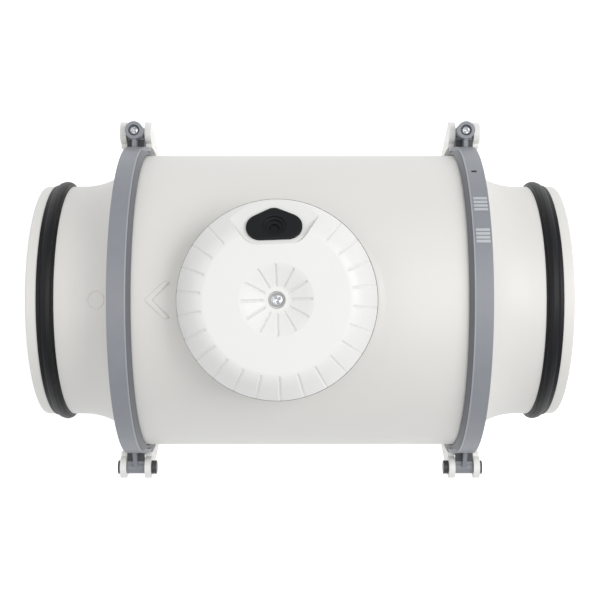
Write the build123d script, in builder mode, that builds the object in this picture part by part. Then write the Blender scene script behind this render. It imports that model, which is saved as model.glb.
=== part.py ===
"""Mixed-flow inline duct fan: two spigots, a removable casing held by hinged clamps, on a bracket.

Frame: +X runs along the duct towards the inlet, +Y towards the clamp screws and +Z up through the
terminal cover. The origin is the centre of the bracket's footprint, and the base lies on z = 0.
Every height written as "above the axis" is measured from the duct axis. Millimetres throughout.
"""

import os
from math import acos, cos, radians, sin, sqrt

from build123d import *

# Fits and running gaps
STATIC_GAP = 0.1  # between pieces that are assembled and stay together
MOVING_GAP = 0.3  # between pieces that move past each other
RUNNING_FIT = 0.06  # radial, shaft or pin in its bore

# Duct line
DUCT_R = 74.0
SPIGOT_LENGTH = 58.3  # from the casing's end to the rim
SPIGOT_WALL = 2.5
FLARE_R = 46.0
FLARE_RUN = 34.8  # from the casing's end to the straight of the spigot
RIM_ROUND = 1.0

# Casing and the flanged joints at its ends
CASING_R = 93.8
CASING_WALL = 2.8
CASING_HALF = 105.2
BASE_CLEARANCE = 20.2
FLANGE_RISE = 2.7
FLANGE_THICK = 3.0
GASKET_THICK = 1.0

# Lip seals, set back from the rims
SEAL_BACK = 6.5
SEAL_WIDTH = 10.5
SEAL_GROOVE = 1.0
SEAL_BAND = 0.8
LIP_BACK = 8.9
LIP_WIDTH = 7.2
LIP_HEIGHT = 3.3

# Clamp bands, placed from the casing's ends and from its outside
BAND_RISE = 5.8
BAND_INBOARD = 5.1
BAND_OUTBOARD = 5.9
BAND_FLOOR = 2.4
BAND_LIP_CLEAR = 0.6
BAND_CUT = 12.0
GUSSET_INBOARD = 7.8
GUSSET_TOP = 30.0
LUG_GAP = 1.0
LUG_PLATE = 2.5
LUG_WEB = 2.6
TRIM_REACH = 20.0  # half-length of the cylinders that trim the clamps

# Clamp hinge and clamp screw, on the centre line of the ears
EAR_INBOARD = 8.1
EAR_OUTBOARD = 11.9
EAR_THICK = 4.0
EAR_R = 7.0
PIN_OFFSET = 9.9
PIN_R = 2.0
PIN_HEAD_R = 4.4
PIN_HEAD = 3.2
PIN_CAP = 1.6
KNUCKLE_R = 4.2
BOSS_TOP = 14.0
SCREW_R = 2.0
SCREW_TIP = 6.0
HEAD_R = 3.0
HEAD_THICK = 2.2
COUNTERBORE_R = 3.55
COUNTERBORE = 3.0
NUT_FLATS = 7.0
NUT_THICK = 3.2
NUT_COVER = 1.5

# Mounting bracket
BASE_THICK = 5.0
BASE_HALF_Y = 66.0
BASE_LIP = 9.0
TROUGH_THICK = 3.0
SLOT_INSET = 7.1
SLOT_SPACING_Y = 100.0
SLOT_R = 2.75
SLOT_LENGTH = 16.0

# Terminal box and its cover, with heights that build up from the casing
BOX_X = -13.0
PEDESTAL_R = 55.8
PEDESTAL_WALL = 2.6
PEDESTAL_RISE = 9.2
PEDESTAL_FILLET = 7.0
COVER_OVERHANG = 1.2
COVER_WALL = 2.4
COVER_SEAT = 1.6
COVER_EDGE = 3.2
COVER_DEPTH = 16.4
PLATEAU_R = 41.0
SLOPE_BULGE = 2.3
DISH_R = 20.2
DISH_DEPTH = 4.0
RING_R = 7.2
COVER_TURN = 2.0
GROOVE_COUNT = 26
GROOVES_MISSING = 5
GROOVE_IN = 42.5
INNER_GROOVES = 12
INNER_GROOVE_IN = 8.0
GROOVE_WIDTH = 1.1
GROOVE_DEPTH = 0.55
COVER_SCREW_R = 1.9
COVER_HEAD_R = 3.8
COVER_HEAD_THICK = 2.3
COVER_RECESS_R = 4.7
COVER_RECESS = 2.6
COVER_BOSS = 3.6
POST_R = 5.2
COVER_SCREW_LENGTH = 14.0

# Cable pocket in the cover, on its slanting floor
POCKET_Y = 31.0
POCKET_TILT = 26.0
POCKET_HALF = 14.6
POCKET_SPREAD = 0.64
POCKET_DEPTH = 34.0
POCKET_CORNER = 5.0
GROMMET_AT = 10.6
GROMMET_SIDE = 7.7
GROMMET_SIDE_R = 8.1
GROMMET_NOSE = 5.2
GROMMET_NOSE_R = 6.8
GROMMET_FLANGE = 1.6
GROMMET_NECK_INSET = 2.2
GROMMET_STEPS = ((6.6, 1.2), (4.9, 1.4), (2.8, 1.4))

# Inside the terminal box
BLOCK_X, BLOCK_Y = -36.0, 12.0
BLOCK_SIZE = (16.0, 30.0, 12.0)
SEAT_RISE = 0.6
SEAT_ROOT = 8.0
TERMINALS = 4
TERMINAL_PITCH = 7.0
TERMINAL_SCREW_R = 1.9
TERMINAL_HOLE = 6.0
WIRE_R = 1.7
WIRE_HEIGHT = 3.4
STRAP_Y = 33.0
STRAP_RISE = 4.2
STRAP_SIZE = (26.0, 7.0, 3.0)
STRAP_SCREW_SPACING = 18.0
STRAP_POST_R = 3.0
STRAP_POST_ROOT = 10.0
STRAP_SCREW_R = 1.3
STRAP_SCREW_LENGTH = 10.0
CAPACITOR_R = 12.5
CAPACITOR_LENGTH = 44.0
CAPACITOR_Y = -33.0
TAG_SPACING = 8.0
TAG_SIZE = (0.8, 6.3, 4.0)

# Marks moulded on the casing and on the outlet spigot
CHEVRON_INBOARD = 15.4
CHEVRON_ARM = 11.0
CHEVRON_HALF = 10.5
CHEVRON_STROKE = 3.4
CHEVRON_RAISE = 0.6
RING_MARK_OUTBOARD = 15.5
RING_MARK_R = 5.7
MARK_LINE = 1.0
MARK_RAISE = 0.5

# Air path: inlet cone, impeller, guide vanes
CONE_THROAT_R = 63.0
CONE_THROAT_X = 60.0
CONE_WALL = 1.8
CONE_INSET = 0.4
CONE_RING_WIDTH = 4.8
CONE_RING_WALL = 2.3
IMPELLER_EYE_R = 66.0
IMPELLER_EYE_X = 57.0
TIP_CLEARANCE = 4.0
IMPELLER_TIP_X = 12.0
HUB_NOSE_R = 20.0
HUB_TAIL_R = 68.0
HUB_MID = (38.0, 33.0)
EYE_MID = (36.0, 71.5)
IMPELLER_SKIN = 2.0
BLADE_COUNT = 11
BLADE_THICK = 2.2
BLADE_BOW = 11.0
IMPELLER_BOSS_R = 11.0
IMPELLER_BOSS_LENGTH = 37.0
CARRIER_HUB_R = 40.0
CARRIER_WALL = 2.4
CARRIER_FRONT, CARRIER_BACK = 4.0, -74.0
VANE_COUNT = 15
VANE_THICK = 2.0
VANE_BOW = 7.0
CARRIER_RING = 2.2
CARRIER_RING_BACK = 8.0
CARRIER_RING_LENGTH = 64.0
VANE_INSET = 2.0
TAIL_R = 46.0
SHAFT_OPENING_R = 14.0
TAIL_LENGTH = 26.0

# Motor
MOTOR_R = 36.0
MOTOR_WALL = 2.0
MOTOR_BACK = -64.0
SHIELD_THICK = 4.0
SHAFT_R = 4.0
SHAFT_FRONT = 66.0
BEARING_R = 11.0
BEARING_WIDTH = 7.0
STATOR_BORE = 18.0
STATOR_FRONT, STATOR_BACK = -14.0, -46.0
AIR_GAP = 0.5
WINDING_OUT, WINDING_IN = 30.0, 21.0
WINDING_LENGTH = 10.0
MOTOR_SCREW_PCD = 54.0
MOTOR_SCREW_R = 2.0
MOTOR_SCREW_HEAD = 3.5
NUT_R = 7.0
IMPELLER_NUT = 6.0

# Derived places
RIM = CASING_HALF + SPIGOT_LENGTH
AXIS_HEIGHT = CASING_R + BASE_CLEARANCE
CASING_BORE = CASING_R - CASING_WALL
FLANGE_R = CASING_R + FLANGE_RISE
FLARE_START = CASING_HALF + FLARE_RUN
FLARE_CENTRE_R = DUCT_R + FLARE_R
SEAL_OUT = RIM - SEAL_BACK
SEAL_IN = SEAL_OUT - SEAL_WIDTH
LIP_OUT = RIM - LIP_BACK
LIP_IN = LIP_OUT - LIP_WIDTH
GASKET_FACE = CASING_HALF + STATIC_GAP / 2
FLANGE_FACE = CASING_HALF + GASKET_THICK + STATIC_GAP
FLANGE_BACK = FLANGE_FACE + FLANGE_THICK
BAND_R = CASING_R + BAND_RISE
BAND_LIP_R = CASING_R + BAND_LIP_CLEAR
BAND_IN = CASING_HALF - BAND_INBOARD
BAND_OUT = CASING_HALF + BAND_OUTBOARD
GUSSET_IN = CASING_HALF - GUSSET_INBOARD
CHANNEL_IN = CASING_HALF - FLANGE_THICK - MOVING_GAP
CHANNEL_OUT = FLANGE_BACK + MOVING_GAP
EAR_IN = CASING_HALF - EAR_INBOARD
EAR_OUT = CASING_HALF + EAR_OUTBOARD
EAR_MID = (EAR_IN + EAR_OUT) / 2
LUG_HALF = (EAR_OUT - EAR_IN) / 2 - EAR_THICK - MOVING_GAP
PIN_Y = BAND_R + PIN_OFFSET
SLOT_SPACING_X = 2 * (EAR_IN - SLOT_INSET)
PEDESTAL_TOP = CASING_R + PEDESTAL_RISE
COVER_R = PEDESTAL_R + COVER_OVERHANG
COVER_BASE = PEDESTAL_TOP + COVER_SEAT
COVER_RIM = COVER_BASE + COVER_EDGE
COVER_TOP = COVER_BASE + COVER_DEPTH
DISH_FLOOR = COVER_TOP - DISH_DEPTH
CHEVRON_X = -CASING_HALF + CHEVRON_INBOARD
RING_MARK_X = -CASING_HALF - RING_MARK_OUTBOARD
CONE_END = CASING_HALF - CONE_INSET
CONE_RING = CONE_END - CONE_RING_WIDTH
IMPELLER_TIP_R = CASING_BORE - IMPELLER_SKIN - TIP_CLEARANCE

DUCT_AXIS = Axis((0, 0, AXIS_HEIGHT), (1, 0, 0))
MERIDIAN = Plane(origin=(0, 0, AXIS_HEIGHT), x_dir=(1, 0, 0), z_dir=(0, -1, 0))
ENDS = (("outlet", -1), ("inlet", 1))


def cross(x):
    """Section plane across the duct at x: its own x runs along +Y and its own y along +Z."""
    return Plane(origin=(x, 0, AXIS_HEIGHT), x_dir=(0, 1, 0), z_dir=(1, 0, 0))


def level(height, x=0.0, y=0.0, turn=0.0):
    """Horizontal plane at a height above the duct axis, turned about its own normal."""
    x_dir = (cos(radians(turn)), sin(radians(turn)), 0)
    return Plane(origin=(x, y, AXIS_HEIGHT + height), x_dir=x_dir, z_dir=(0, 0, 1))


def flare_radius(x, wall=0.0):
    """Radius of the spigot's flare at x from the middle, on a face a wall's depth inside it."""
    return FLARE_CENTRE_R - sqrt((FLARE_R + wall) ** 2 - (x - FLARE_START) ** 2)


def finish(piece, name):
    """Label a finished piece and write its STEP file."""
    piece.part.label = name
    export_step(piece.part, f"parts/{name}.step")


os.makedirs("parts", exist_ok=True)

# ---------------------------------------------------------------- spigots, lip seals and gaskets

for end, side in ENDS:
    bore_r = DUCT_R - SPIGOT_WALL
    flare_mid = (FLARE_START + FLANGE_BACK) / 2
    rim_cut = RIM_ROUND * (1 - cos(radians(45)))
    with BuildPart() as spigot:
        with BuildSketch(MERIDIAN):
            with BuildLine():
                Polyline(
                    (side * FLARE_START, DUCT_R),
                    (side * SEAL_IN, DUCT_R),
                    (side * SEAL_IN, DUCT_R - SEAL_GROOVE),
                    (side * SEAL_OUT, DUCT_R - SEAL_GROOVE),
                    (side * SEAL_OUT, DUCT_R),
                    (side * (RIM - RIM_ROUND), DUCT_R),
                )
                ThreePointArc(
                    (side * (RIM - RIM_ROUND), DUCT_R),
                    (side * (RIM - rim_cut), DUCT_R - rim_cut),
                    (side * RIM, DUCT_R - RIM_ROUND),
                )
                Polyline(
                    (side * RIM, DUCT_R - RIM_ROUND),
                    (side * RIM, bore_r),
                    (side * FLARE_START, bore_r),
                )
                ThreePointArc(
                    (side * FLARE_START, bore_r),
                    (side * flare_mid, flare_radius(flare_mid, SPIGOT_WALL)),
                    (side * FLANGE_FACE, flare_radius(FLANGE_FACE, SPIGOT_WALL)),
                )
                Polyline(
                    (side * FLANGE_FACE, flare_radius(FLANGE_FACE, SPIGOT_WALL)),
                    (side * FLANGE_FACE, FLANGE_R),
                    (side * FLANGE_BACK, FLANGE_R),
                    (side * FLANGE_BACK, flare_radius(FLANGE_BACK)),
                )
                ThreePointArc(
                    (side * FLANGE_BACK, flare_radius(FLANGE_BACK)),
                    (side * flare_mid, flare_radius(flare_mid)),
                    (side * FLARE_START, DUCT_R),
                )
            make_face()
        revolve(axis=DUCT_AXIS)
        if end == "outlet":
            # The mark lies square to the flare's surface
            lean = (FLARE_START + RING_MARK_X) / FLARE_R
            mark_place = (RING_MARK_X, 0, AXIS_HEIGHT + flare_radius(-RING_MARK_X))
            mark_plane = Plane(origin=mark_place, x_dir=(0, 1, 0), z_dir=(-lean, 0, sqrt(1 - lean**2)))
            with BuildSketch(mark_plane.offset(-SPIGOT_WALL / 2)):
                Circle(RING_MARK_R)
                Circle(RING_MARK_R - MARK_LINE, mode=Mode.SUBTRACT)
            extrude(amount=SPIGOT_WALL / 2 + MARK_RAISE)
    finish(spigot, f"{end}_spigot")

    seat_r = DUCT_R - SEAL_GROOVE + STATIC_GAP
    band_r = DUCT_R + SEAL_BAND
    lip_mid = (LIP_IN + LIP_OUT) / 2
    with BuildPart() as lip_seal:
        with BuildSketch(MERIDIAN):
            with BuildLine():
                Polyline(
                    (side * LIP_IN, band_r),
                    (side * (SEAL_IN + STATIC_GAP), band_r),
                    (side * (SEAL_IN + STATIC_GAP), seat_r),
                    (side * (SEAL_OUT - STATIC_GAP), seat_r),
                    (side * (SEAL_OUT - STATIC_GAP), band_r),
                    (side * LIP_OUT, band_r),
                )
                ThreePointArc(
                    (side * LIP_OUT, band_r),
                    (side * lip_mid, DUCT_R + LIP_HEIGHT),
                    (side * LIP_IN, band_r),
                )
            make_face()
        revolve(axis=DUCT_AXIS)
    finish(lip_seal, f"{end}_lip_seal")

    with BuildPart() as gasket:
        with BuildSketch(cross(side * (GASKET_FACE + GASKET_THICK / 2))):
            Circle(FLANGE_R - STATIC_GAP)
            Circle(CASING_BORE, mode=Mode.SUBTRACT)
        extrude(amount=GASKET_THICK / 2, both=True)
    finish(gasket, f"{end}_gasket")

# ---------------------------------------------------------------- casing with its terminal pedestal

post_top = DISH_FLOOR - COVER_RECESS - COVER_BOSS - MOVING_GAP
screw_tip = DISH_FLOOR - COVER_RECESS - COVER_SCREW_LENGTH
seat_height = CASING_R + SEAT_RISE
strap_height = CASING_R + STRAP_RISE

with BuildPart() as body_casing:
    with BuildSketch(cross(-CASING_HALF)):
        Circle(CASING_R)
    extrude(amount=2 * CASING_HALF)
    with BuildSketch(level(0, BOX_X)):
        Circle(PEDESTAL_R)
    extrude(amount=PEDESTAL_TOP)
    root_edges = (
        body_casing.edges()
        .filter_by(GeomType.LINE, reverse=True)
        .filter_by(lambda e: CASING_R / 2 < e.center().Z - AXIS_HEIGHT < PEDESTAL_TOP - 1)
    )
    fillet(root_edges, PEDESTAL_FILLET)
    with BuildSketch(level(PEDESTAL_TOP, BOX_X)):
        Circle(PEDESTAL_R - PEDESTAL_WALL)
    extrude(amount=-PEDESTAL_TOP, mode=Mode.SUBTRACT)
    with BuildSketch(cross(-CASING_HALF)):
        Circle(CASING_R)
    extrude(amount=2 * CASING_HALF)
    for end, side in ENDS:
        with BuildSketch(cross(side * (CASING_HALF - FLANGE_THICK / 2))):
            Circle(FLANGE_R)
        extrude(amount=FLANGE_THICK / 2, both=True)
    with BuildSketch(level(CASING_BORE, BOX_X)):
        Circle(POST_R)
    extrude(amount=post_top - CASING_BORE)
    with BuildSketch(level(CASING_R - SEAT_ROOT, BLOCK_X, BLOCK_Y)):
        Rectangle(BLOCK_SIZE[0], BLOCK_SIZE[1])
    extrude(amount=SEAT_RISE + SEAT_ROOT)
    with BuildSketch(level(CASING_R - STRAP_POST_ROOT, BOX_X, STRAP_Y)):
        with GridLocations(STRAP_SCREW_SPACING, 0, 2, 1):
            Circle(STRAP_POST_R)
    extrude(amount=STRAP_RISE + STRAP_POST_ROOT)
    with BuildSketch(level(CASING_BORE, CHEVRON_X)):
        with BuildLine():
            Polyline(
                (CHEVRON_ARM, CHEVRON_HALF),
                (0, 0),
                (CHEVRON_ARM, -CHEVRON_HALF),
                (CHEVRON_ARM + CHEVRON_STROKE, -CHEVRON_HALF),
                (CHEVRON_STROKE * 1.3, 0),
                (CHEVRON_ARM + CHEVRON_STROKE, CHEVRON_HALF),
                close=True,
            )
        make_face()
    extrude(amount=CASING_WALL + CHEVRON_RAISE)
    with BuildSketch(cross(-CASING_HALF)):
        Circle(CASING_BORE)
    extrude(amount=2 * CASING_HALF, mode=Mode.SUBTRACT)
    with BuildSketch(level(post_top, BOX_X)):
        Circle(COVER_SCREW_R + RUNNING_FIT)
    extrude(amount=screw_tip - STATIC_GAP - 1 - post_top, mode=Mode.SUBTRACT)
    with BuildSketch(level(strap_height, BOX_X, STRAP_Y)):
        with GridLocations(STRAP_SCREW_SPACING, 0, 2, 1):
            Circle(STRAP_SCREW_R + RUNNING_FIT)
    extrude(amount=STRAP_SIZE[2] - STRAP_SCREW_LENGTH - 1, mode=Mode.SUBTRACT)
finish(body_casing, "body_casing")

# ---------------------------------------------------------------- clamps with their pins, screws and nuts


def band_profile(side):
    """Channel section of a clamp band, open towards the duct axis."""
    with BuildSketch(MERIDIAN, mode=Mode.PRIVATE) as profile:
        with BuildLine():
            Polyline(
                (side * BAND_IN, BAND_LIP_R),
                (side * BAND_IN, BAND_R),
                (side * BAND_OUT, BAND_R),
                (side * BAND_OUT, BAND_LIP_R),
                (side * CHANNEL_OUT, BAND_LIP_R),
                (side * CHANNEL_OUT, BAND_R - BAND_FLOOR),
                (side * CHANNEL_IN, BAND_R - BAND_FLOOR),
                (side * CHANNEL_IN, BAND_LIP_R),
                close=True,
            )
        make_face()
    return profile.sketch_local


nut_top = -NUT_COVER - STATIC_GAP
lug_bottom = nut_top - NUT_THICK - 1.0
screw_seat = BOSS_TOP - COUNTERBORE

for end, side in ENDS:
    middle = side * EAR_MID
    with BuildPart() as gussets:
        with BuildSketch(MERIDIAN):
            Polygon(
                (side * GUSSET_IN, LUG_GAP),
                (side * BAND_OUT, LUG_GAP),
                (side * BAND_OUT, BAND_CUT + 2),
                (side * BAND_IN, GUSSET_TOP),
                (side * GUSSET_IN, BAND_CUT),
                align=None,
            )
        extrude(amount=BAND_R, both=True)
        with BuildSketch(cross(side * GUSSET_IN - TRIM_REACH)):
            Circle(BAND_R)
            Circle(FLANGE_R + MOVING_GAP, mode=Mode.SUBTRACT)
        extrude(amount=2 * TRIM_REACH, mode=Mode.INTERSECT)

    with BuildPart() as clamp_front:
        with BuildSketch(MERIDIAN):
            add(band_profile(side))
        revolve(axis=DUCT_AXIS)
        split(bisect_by=level(LUG_GAP), keep=Keep.TOP)
        add(gussets.part)
        # Closing lug: a plate, a web and the screw boss
        with BuildSketch(level(LUG_GAP, middle)):
            with Locations((0, (BAND_R + PIN_Y) / 2 - 1)):
                Rectangle(2 * LUG_HALF, PIN_Y - BAND_R + 2)
            with Locations((0, PIN_Y)):
                Circle(LUG_HALF)
        extrude(amount=LUG_PLATE)
        with BuildSketch(level(LUG_GAP, middle)):
            with Locations((0, PIN_Y)):
                Circle(LUG_HALF)
        extrude(amount=BOSS_TOP - LUG_GAP)
        with BuildSketch(level(LUG_GAP, middle)):
            with Locations((0, (BAND_R + PIN_Y) / 2 - 1)):
                Rectangle(LUG_WEB, PIN_Y - BAND_R + 2)
        extrude(amount=BOSS_TOP - LUG_GAP - 1)
        with BuildSketch(level(BOSS_TOP, middle)):
            with Locations((0, PIN_Y)):
                Circle(COUNTERBORE_R)
        extrude(amount=-COUNTERBORE, mode=Mode.SUBTRACT)
        with BuildSketch(level(BOSS_TOP, middle)):
            with Locations((0, PIN_Y)):
                Circle(SCREW_R + RUNNING_FIT)
        extrude(amount=-BOSS_TOP, mode=Mode.SUBTRACT)
        # Hinge arm: a knuckle carried by a web and a sloping plate
        with BuildSketch(cross(middle - LUG_HALF)):
            with Locations((-PIN_Y, 0)):
                Circle(KNUCKLE_R)
        extrude(amount=2 * LUG_HALF)
        with BuildSketch(cross(middle - LUG_WEB / 2)):
            Polygon(
                (-PIN_Y, 0),
                (-PIN_Y, KNUCKLE_R),
                (-BAND_R + 2, BAND_CUT),
                (-BAND_R + 2, LUG_GAP),
                align=None,
            )
        extrude(amount=LUG_WEB)
        with BuildSketch(cross(middle - LUG_HALF)):
            Polygon(
                (-PIN_Y, LUG_GAP),
                (-PIN_Y, LUG_GAP + LUG_PLATE),
                (-BAND_R + 1, LUG_GAP + LUG_PLATE),
                (-BAND_R + 1, LUG_GAP),
                align=None,
            )
        extrude(amount=2 * LUG_HALF)
        with BuildSketch(cross(middle - LUG_HALF)):
            with Locations((-PIN_Y, 0)):
                Circle(PIN_R + RUNNING_FIT)
        extrude(amount=2 * LUG_HALF, mode=Mode.SUBTRACT)
        # The band clears the casing and spigot flanges all along its channel
        with BuildSketch(cross(side * (CHANNEL_IN + CHANNEL_OUT) / 2)):
            Circle(BAND_R - BAND_FLOOR)
        extrude(amount=(CHANNEL_OUT - CHANNEL_IN) / 2, both=True, mode=Mode.SUBTRACT)
        with BuildSketch(cross(side * GUSSET_IN - TRIM_REACH)):
            Circle(BAND_LIP_R)
        extrude(amount=2 * TRIM_REACH, mode=Mode.SUBTRACT)
    finish(clamp_front, f"{end}_clamp_front")

    with BuildPart() as clamp_rear:
        with BuildSketch(MERIDIAN):
            add(band_profile(side))
        revolve(axis=DUCT_AXIS)
        split(bisect_by=level(0), keep=Keep.BOTTOM)
        with BuildSketch(level(0, middle)):
            with Locations((0, (BAND_R + PIN_Y) / 2 - 1)):
                Rectangle(2 * LUG_HALF, PIN_Y - BAND_R + 2)
            with Locations((0, PIN_Y)):
                Circle(LUG_HALF)
        extrude(amount=lug_bottom)
        with BuildSketch(level(0, middle)):
            with Locations((0, PIN_Y)):
                Circle(SCREW_R + 2 * STATIC_GAP)
        extrude(amount=lug_bottom, mode=Mode.SUBTRACT)
        with BuildSketch(level(nut_top + STATIC_GAP, middle)):
            with Locations((0, PIN_Y)):
                RegularPolygon(NUT_FLATS / 2 + STATIC_GAP, 6, major_radius=False)
        extrude(amount=lug_bottom - nut_top - STATIC_GAP, mode=Mode.SUBTRACT)
        with BuildSketch(cross(middle - 2 * LUG_HALF)):
            with Locations((-PIN_Y, 0)):
                Circle(KNUCKLE_R + 1.0)
        extrude(amount=4 * LUG_HALF, mode=Mode.SUBTRACT)
    finish(clamp_rear, f"{end}_clamp_rear")

    with BuildPart() as hinge_pin:
        with BuildSketch(cross(side * (EAR_IN - STATIC_GAP))):
            with Locations((-PIN_Y, 0)):
                Circle(PIN_HEAD_R)
        extrude(amount=-side * PIN_HEAD)
        with BuildSketch(cross(side * (EAR_OUT + STATIC_GAP))):
            with Locations((-PIN_Y, 0)):
                Circle(PIN_HEAD_R)
        extrude(amount=side * PIN_CAP)
        with BuildSketch(cross(side * (EAR_IN - STATIC_GAP))):
            with Locations((-PIN_Y, 0)):
                Circle(PIN_R)
        extrude(amount=side * (EAR_OUT - EAR_IN + 2 * STATIC_GAP))
    finish(hinge_pin, f"{end}_hinge_pin")

    with BuildPart() as clamp_screw:
        with BuildSketch(level(screw_seat, middle, PIN_Y)):
            Circle(HEAD_R)
        extrude(amount=HEAD_THICK)
        head_top = clamp_screw.faces().sort_by(Axis.Z)[-1]
        fillet(head_top.edges(), HEAD_THICK / 3)
        with BuildSketch(level(screw_seat, middle, PIN_Y)):
            Circle(SCREW_R)
        extrude(amount=-screw_seat - SCREW_TIP)
        with BuildSketch(level(screw_seat + HEAD_THICK, middle, PIN_Y, 40)):
            Rectangle(HEAD_R * 1.15, HEAD_R / 4)
            Rectangle(HEAD_R / 4, HEAD_R * 1.15)
        extrude(amount=-HEAD_THICK / 2, mode=Mode.SUBTRACT)
    finish(clamp_screw, f"{end}_clamp_screw")

with BuildPart() as clamp_nuts:
    for end, side in ENDS:
        with BuildSketch(level(nut_top, side * EAR_MID, PIN_Y)):
            RegularPolygon(NUT_FLATS / 2, 6, major_radius=False)
            Circle(SCREW_R + 2 * STATIC_GAP, mode=Mode.SUBTRACT)
        extrude(amount=-NUT_THICK)
finish(clamp_nuts, "clamp_nuts")

# ---------------------------------------------------------------- mounting bracket

trough_r = BAND_R + MOVING_GAP
base_top = BASE_THICK - AXIS_HEIGHT

with BuildPart() as mounting_bracket:
    for end, side in ENDS:
        for inner in (EAR_IN, EAR_OUT - EAR_THICK):
            with BuildSketch(cross(side * (inner + EAR_THICK / 2))):
                with Locations((-PIN_Y, 0), (PIN_Y, 0)):
                    Circle(EAR_R)
                with Locations((0, base_top - BASE_THICK / 2)):
                    Rectangle(2 * BASE_HALF_Y, BASE_THICK)
                make_hull()
                Circle(trough_r, mode=Mode.SUBTRACT)
                with Locations((0, EAR_R)):
                    Rectangle(2 * PIN_Y, 2 * EAR_R, mode=Mode.SUBTRACT)
                with Locations((-PIN_Y, 0), (PIN_Y, 0)):
                    Circle(EAR_R)
                with Locations((-PIN_Y, 0)):
                    Circle(PIN_R + RUNNING_FIT, mode=Mode.SUBTRACT)
            extrude(amount=EAR_THICK / 2, both=True)
        with BuildSketch(cross(side * EAR_MID)):
            Circle(trough_r + TROUGH_THICK)
            Circle(trough_r, mode=Mode.SUBTRACT)
            with Locations((0, trough_r - 2 * KNUCKLE_R)):
                Rectangle(3 * trough_r, 2 * trough_r, mode=Mode.SUBTRACT)
        extrude(amount=EAR_MID - EAR_IN - EAR_THICK / 2, both=True)
    with BuildSketch(Plane.XY):
        RectangleRounded(2 * EAR_OUT, 2 * BASE_HALF_Y, 6)
    extrude(amount=BASE_THICK)
    with BuildSketch(Plane.XY):
        with Locations((0, BASE_HALF_Y - TROUGH_THICK / 2), (0, -BASE_HALF_Y + TROUGH_THICK / 2)):
            Rectangle(2 * EAR_IN + 1, TROUGH_THICK)
    extrude(amount=BASE_LIP)
    with BuildSketch(Plane.XY):
        with GridLocations(SLOT_SPACING_X, SLOT_SPACING_Y, 2, 2):
            SlotOverall(SLOT_LENGTH, 2 * SLOT_R)
    extrude(amount=BASE_THICK, mode=Mode.SUBTRACT)
finish(mounting_bracket, "mounting_bracket")

# ---------------------------------------------------------------- terminal cover, its grommet, screw and gasket

groove_step = 360 / GROOVE_COUNT
first_groove = 90 + groove_step * (GROOVES_MISSING + 1) / 2
slope_mid_r = (COVER_R + PLATEAU_R) / 2
slope_mid_z = (COVER_RIM + COVER_TOP) / 2
slope_run = sqrt((COVER_R - PLATEAU_R) ** 2 + (COVER_TOP - COVER_RIM) ** 2)
bulge_r = SLOPE_BULGE * (COVER_TOP - COVER_RIM) / slope_run
bulge_z = SLOPE_BULGE * (COVER_R - PLATEAU_R) / slope_run


def cover_form(inset):
    """Solid of the cover's outside, or of its inside where inset is the wall."""
    foot = COVER_BASE - (1 if inset else 0)
    boss_floor = DISH_FLOOR - COVER_RECESS - COVER_BOSS
    with BuildPart(mode=Mode.PRIVATE) as form:
        with BuildSketch(Plane(origin=(BOX_X, 0, AXIS_HEIGHT), x_dir=(1, 0, 0), z_dir=(0, -1, 0))):
            with BuildLine():
                Polyline((0, foot), (COVER_R - inset, foot), (COVER_R - inset, COVER_RIM))
                ThreePointArc(
                    (COVER_R - inset, COVER_RIM),
                    (slope_mid_r + bulge_r - 0.7 * inset, slope_mid_z + bulge_z - 0.7 * inset),
                    (PLATEAU_R, COVER_TOP - inset),
                )
                Polyline(
                    (PLATEAU_R, COVER_TOP - inset),
                    (DISH_R + inset / 2, COVER_TOP - inset),
                    (RING_R + inset / 2, DISH_FLOOR - inset),
                )
                if inset:
                    Polyline(
                        (RING_R + inset / 2, DISH_FLOOR - inset),
                        (RING_R, boss_floor),
                        (0, boss_floor),
                        (0, foot),
                    )
                else:
                    Polyline((RING_R, DISH_FLOOR), (0, DISH_FLOOR), (0, foot))
            make_face()
        revolve(axis=Axis((BOX_X, 0, AXIS_HEIGHT), (0, 0, 1)))
    return form.part


def pocket_plane(depth=0.0):
    """Plane on the cable pocket's slanting floor: its own y runs down the slope, outwards."""
    tilt = radians(POCKET_TILT)
    turn = radians(COVER_TURN)
    out = Vector(-sin(turn), cos(turn), 0)
    normal = out * sin(tilt) + Vector(0, 0, cos(tilt))
    origin = Vector(BOX_X, 0, AXIS_HEIGHT + COVER_TOP) + out * POCKET_Y - normal * depth
    down = out * cos(tilt) - Vector(0, 0, sin(tilt))
    return Plane(origin=origin, x_dir=down.cross(normal), z_dir=normal)


def pocket_form(inset):
    """Solid that the pocket takes out of the cover, grown by a wall for the inside."""
    half = POCKET_HALF + inset
    far_half = half + POCKET_SPREAD * (POCKET_DEPTH + inset)
    with BuildPart(mode=Mode.PRIVATE) as form:
        with BuildSketch(pocket_plane(inset)) as floor:
            Polygon(
                (-half, -inset),
                (half, -inset),
                (far_half, POCKET_DEPTH),
                (-far_half, POCKET_DEPTH),
                align=None,
            )
            fillet(floor.vertices().sort_by(Axis.Y)[:2], POCKET_CORNER)
        extrude(amount=POCKET_DEPTH)
    return form.part


def grommet_outline(inset):
    """Rounded three-lobed outline of the grommet, about the cable's centre."""
    with BuildSketch(mode=Mode.PRIVATE) as outline:
        with Locations((-GROMMET_SIDE, 0), (GROMMET_SIDE, 0)):
            Circle(GROMMET_SIDE_R - inset)
        with Locations((0, GROMMET_NOSE)):
            Circle(GROMMET_NOSE_R - inset)
        make_hull()
    return outline.sketch


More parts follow.
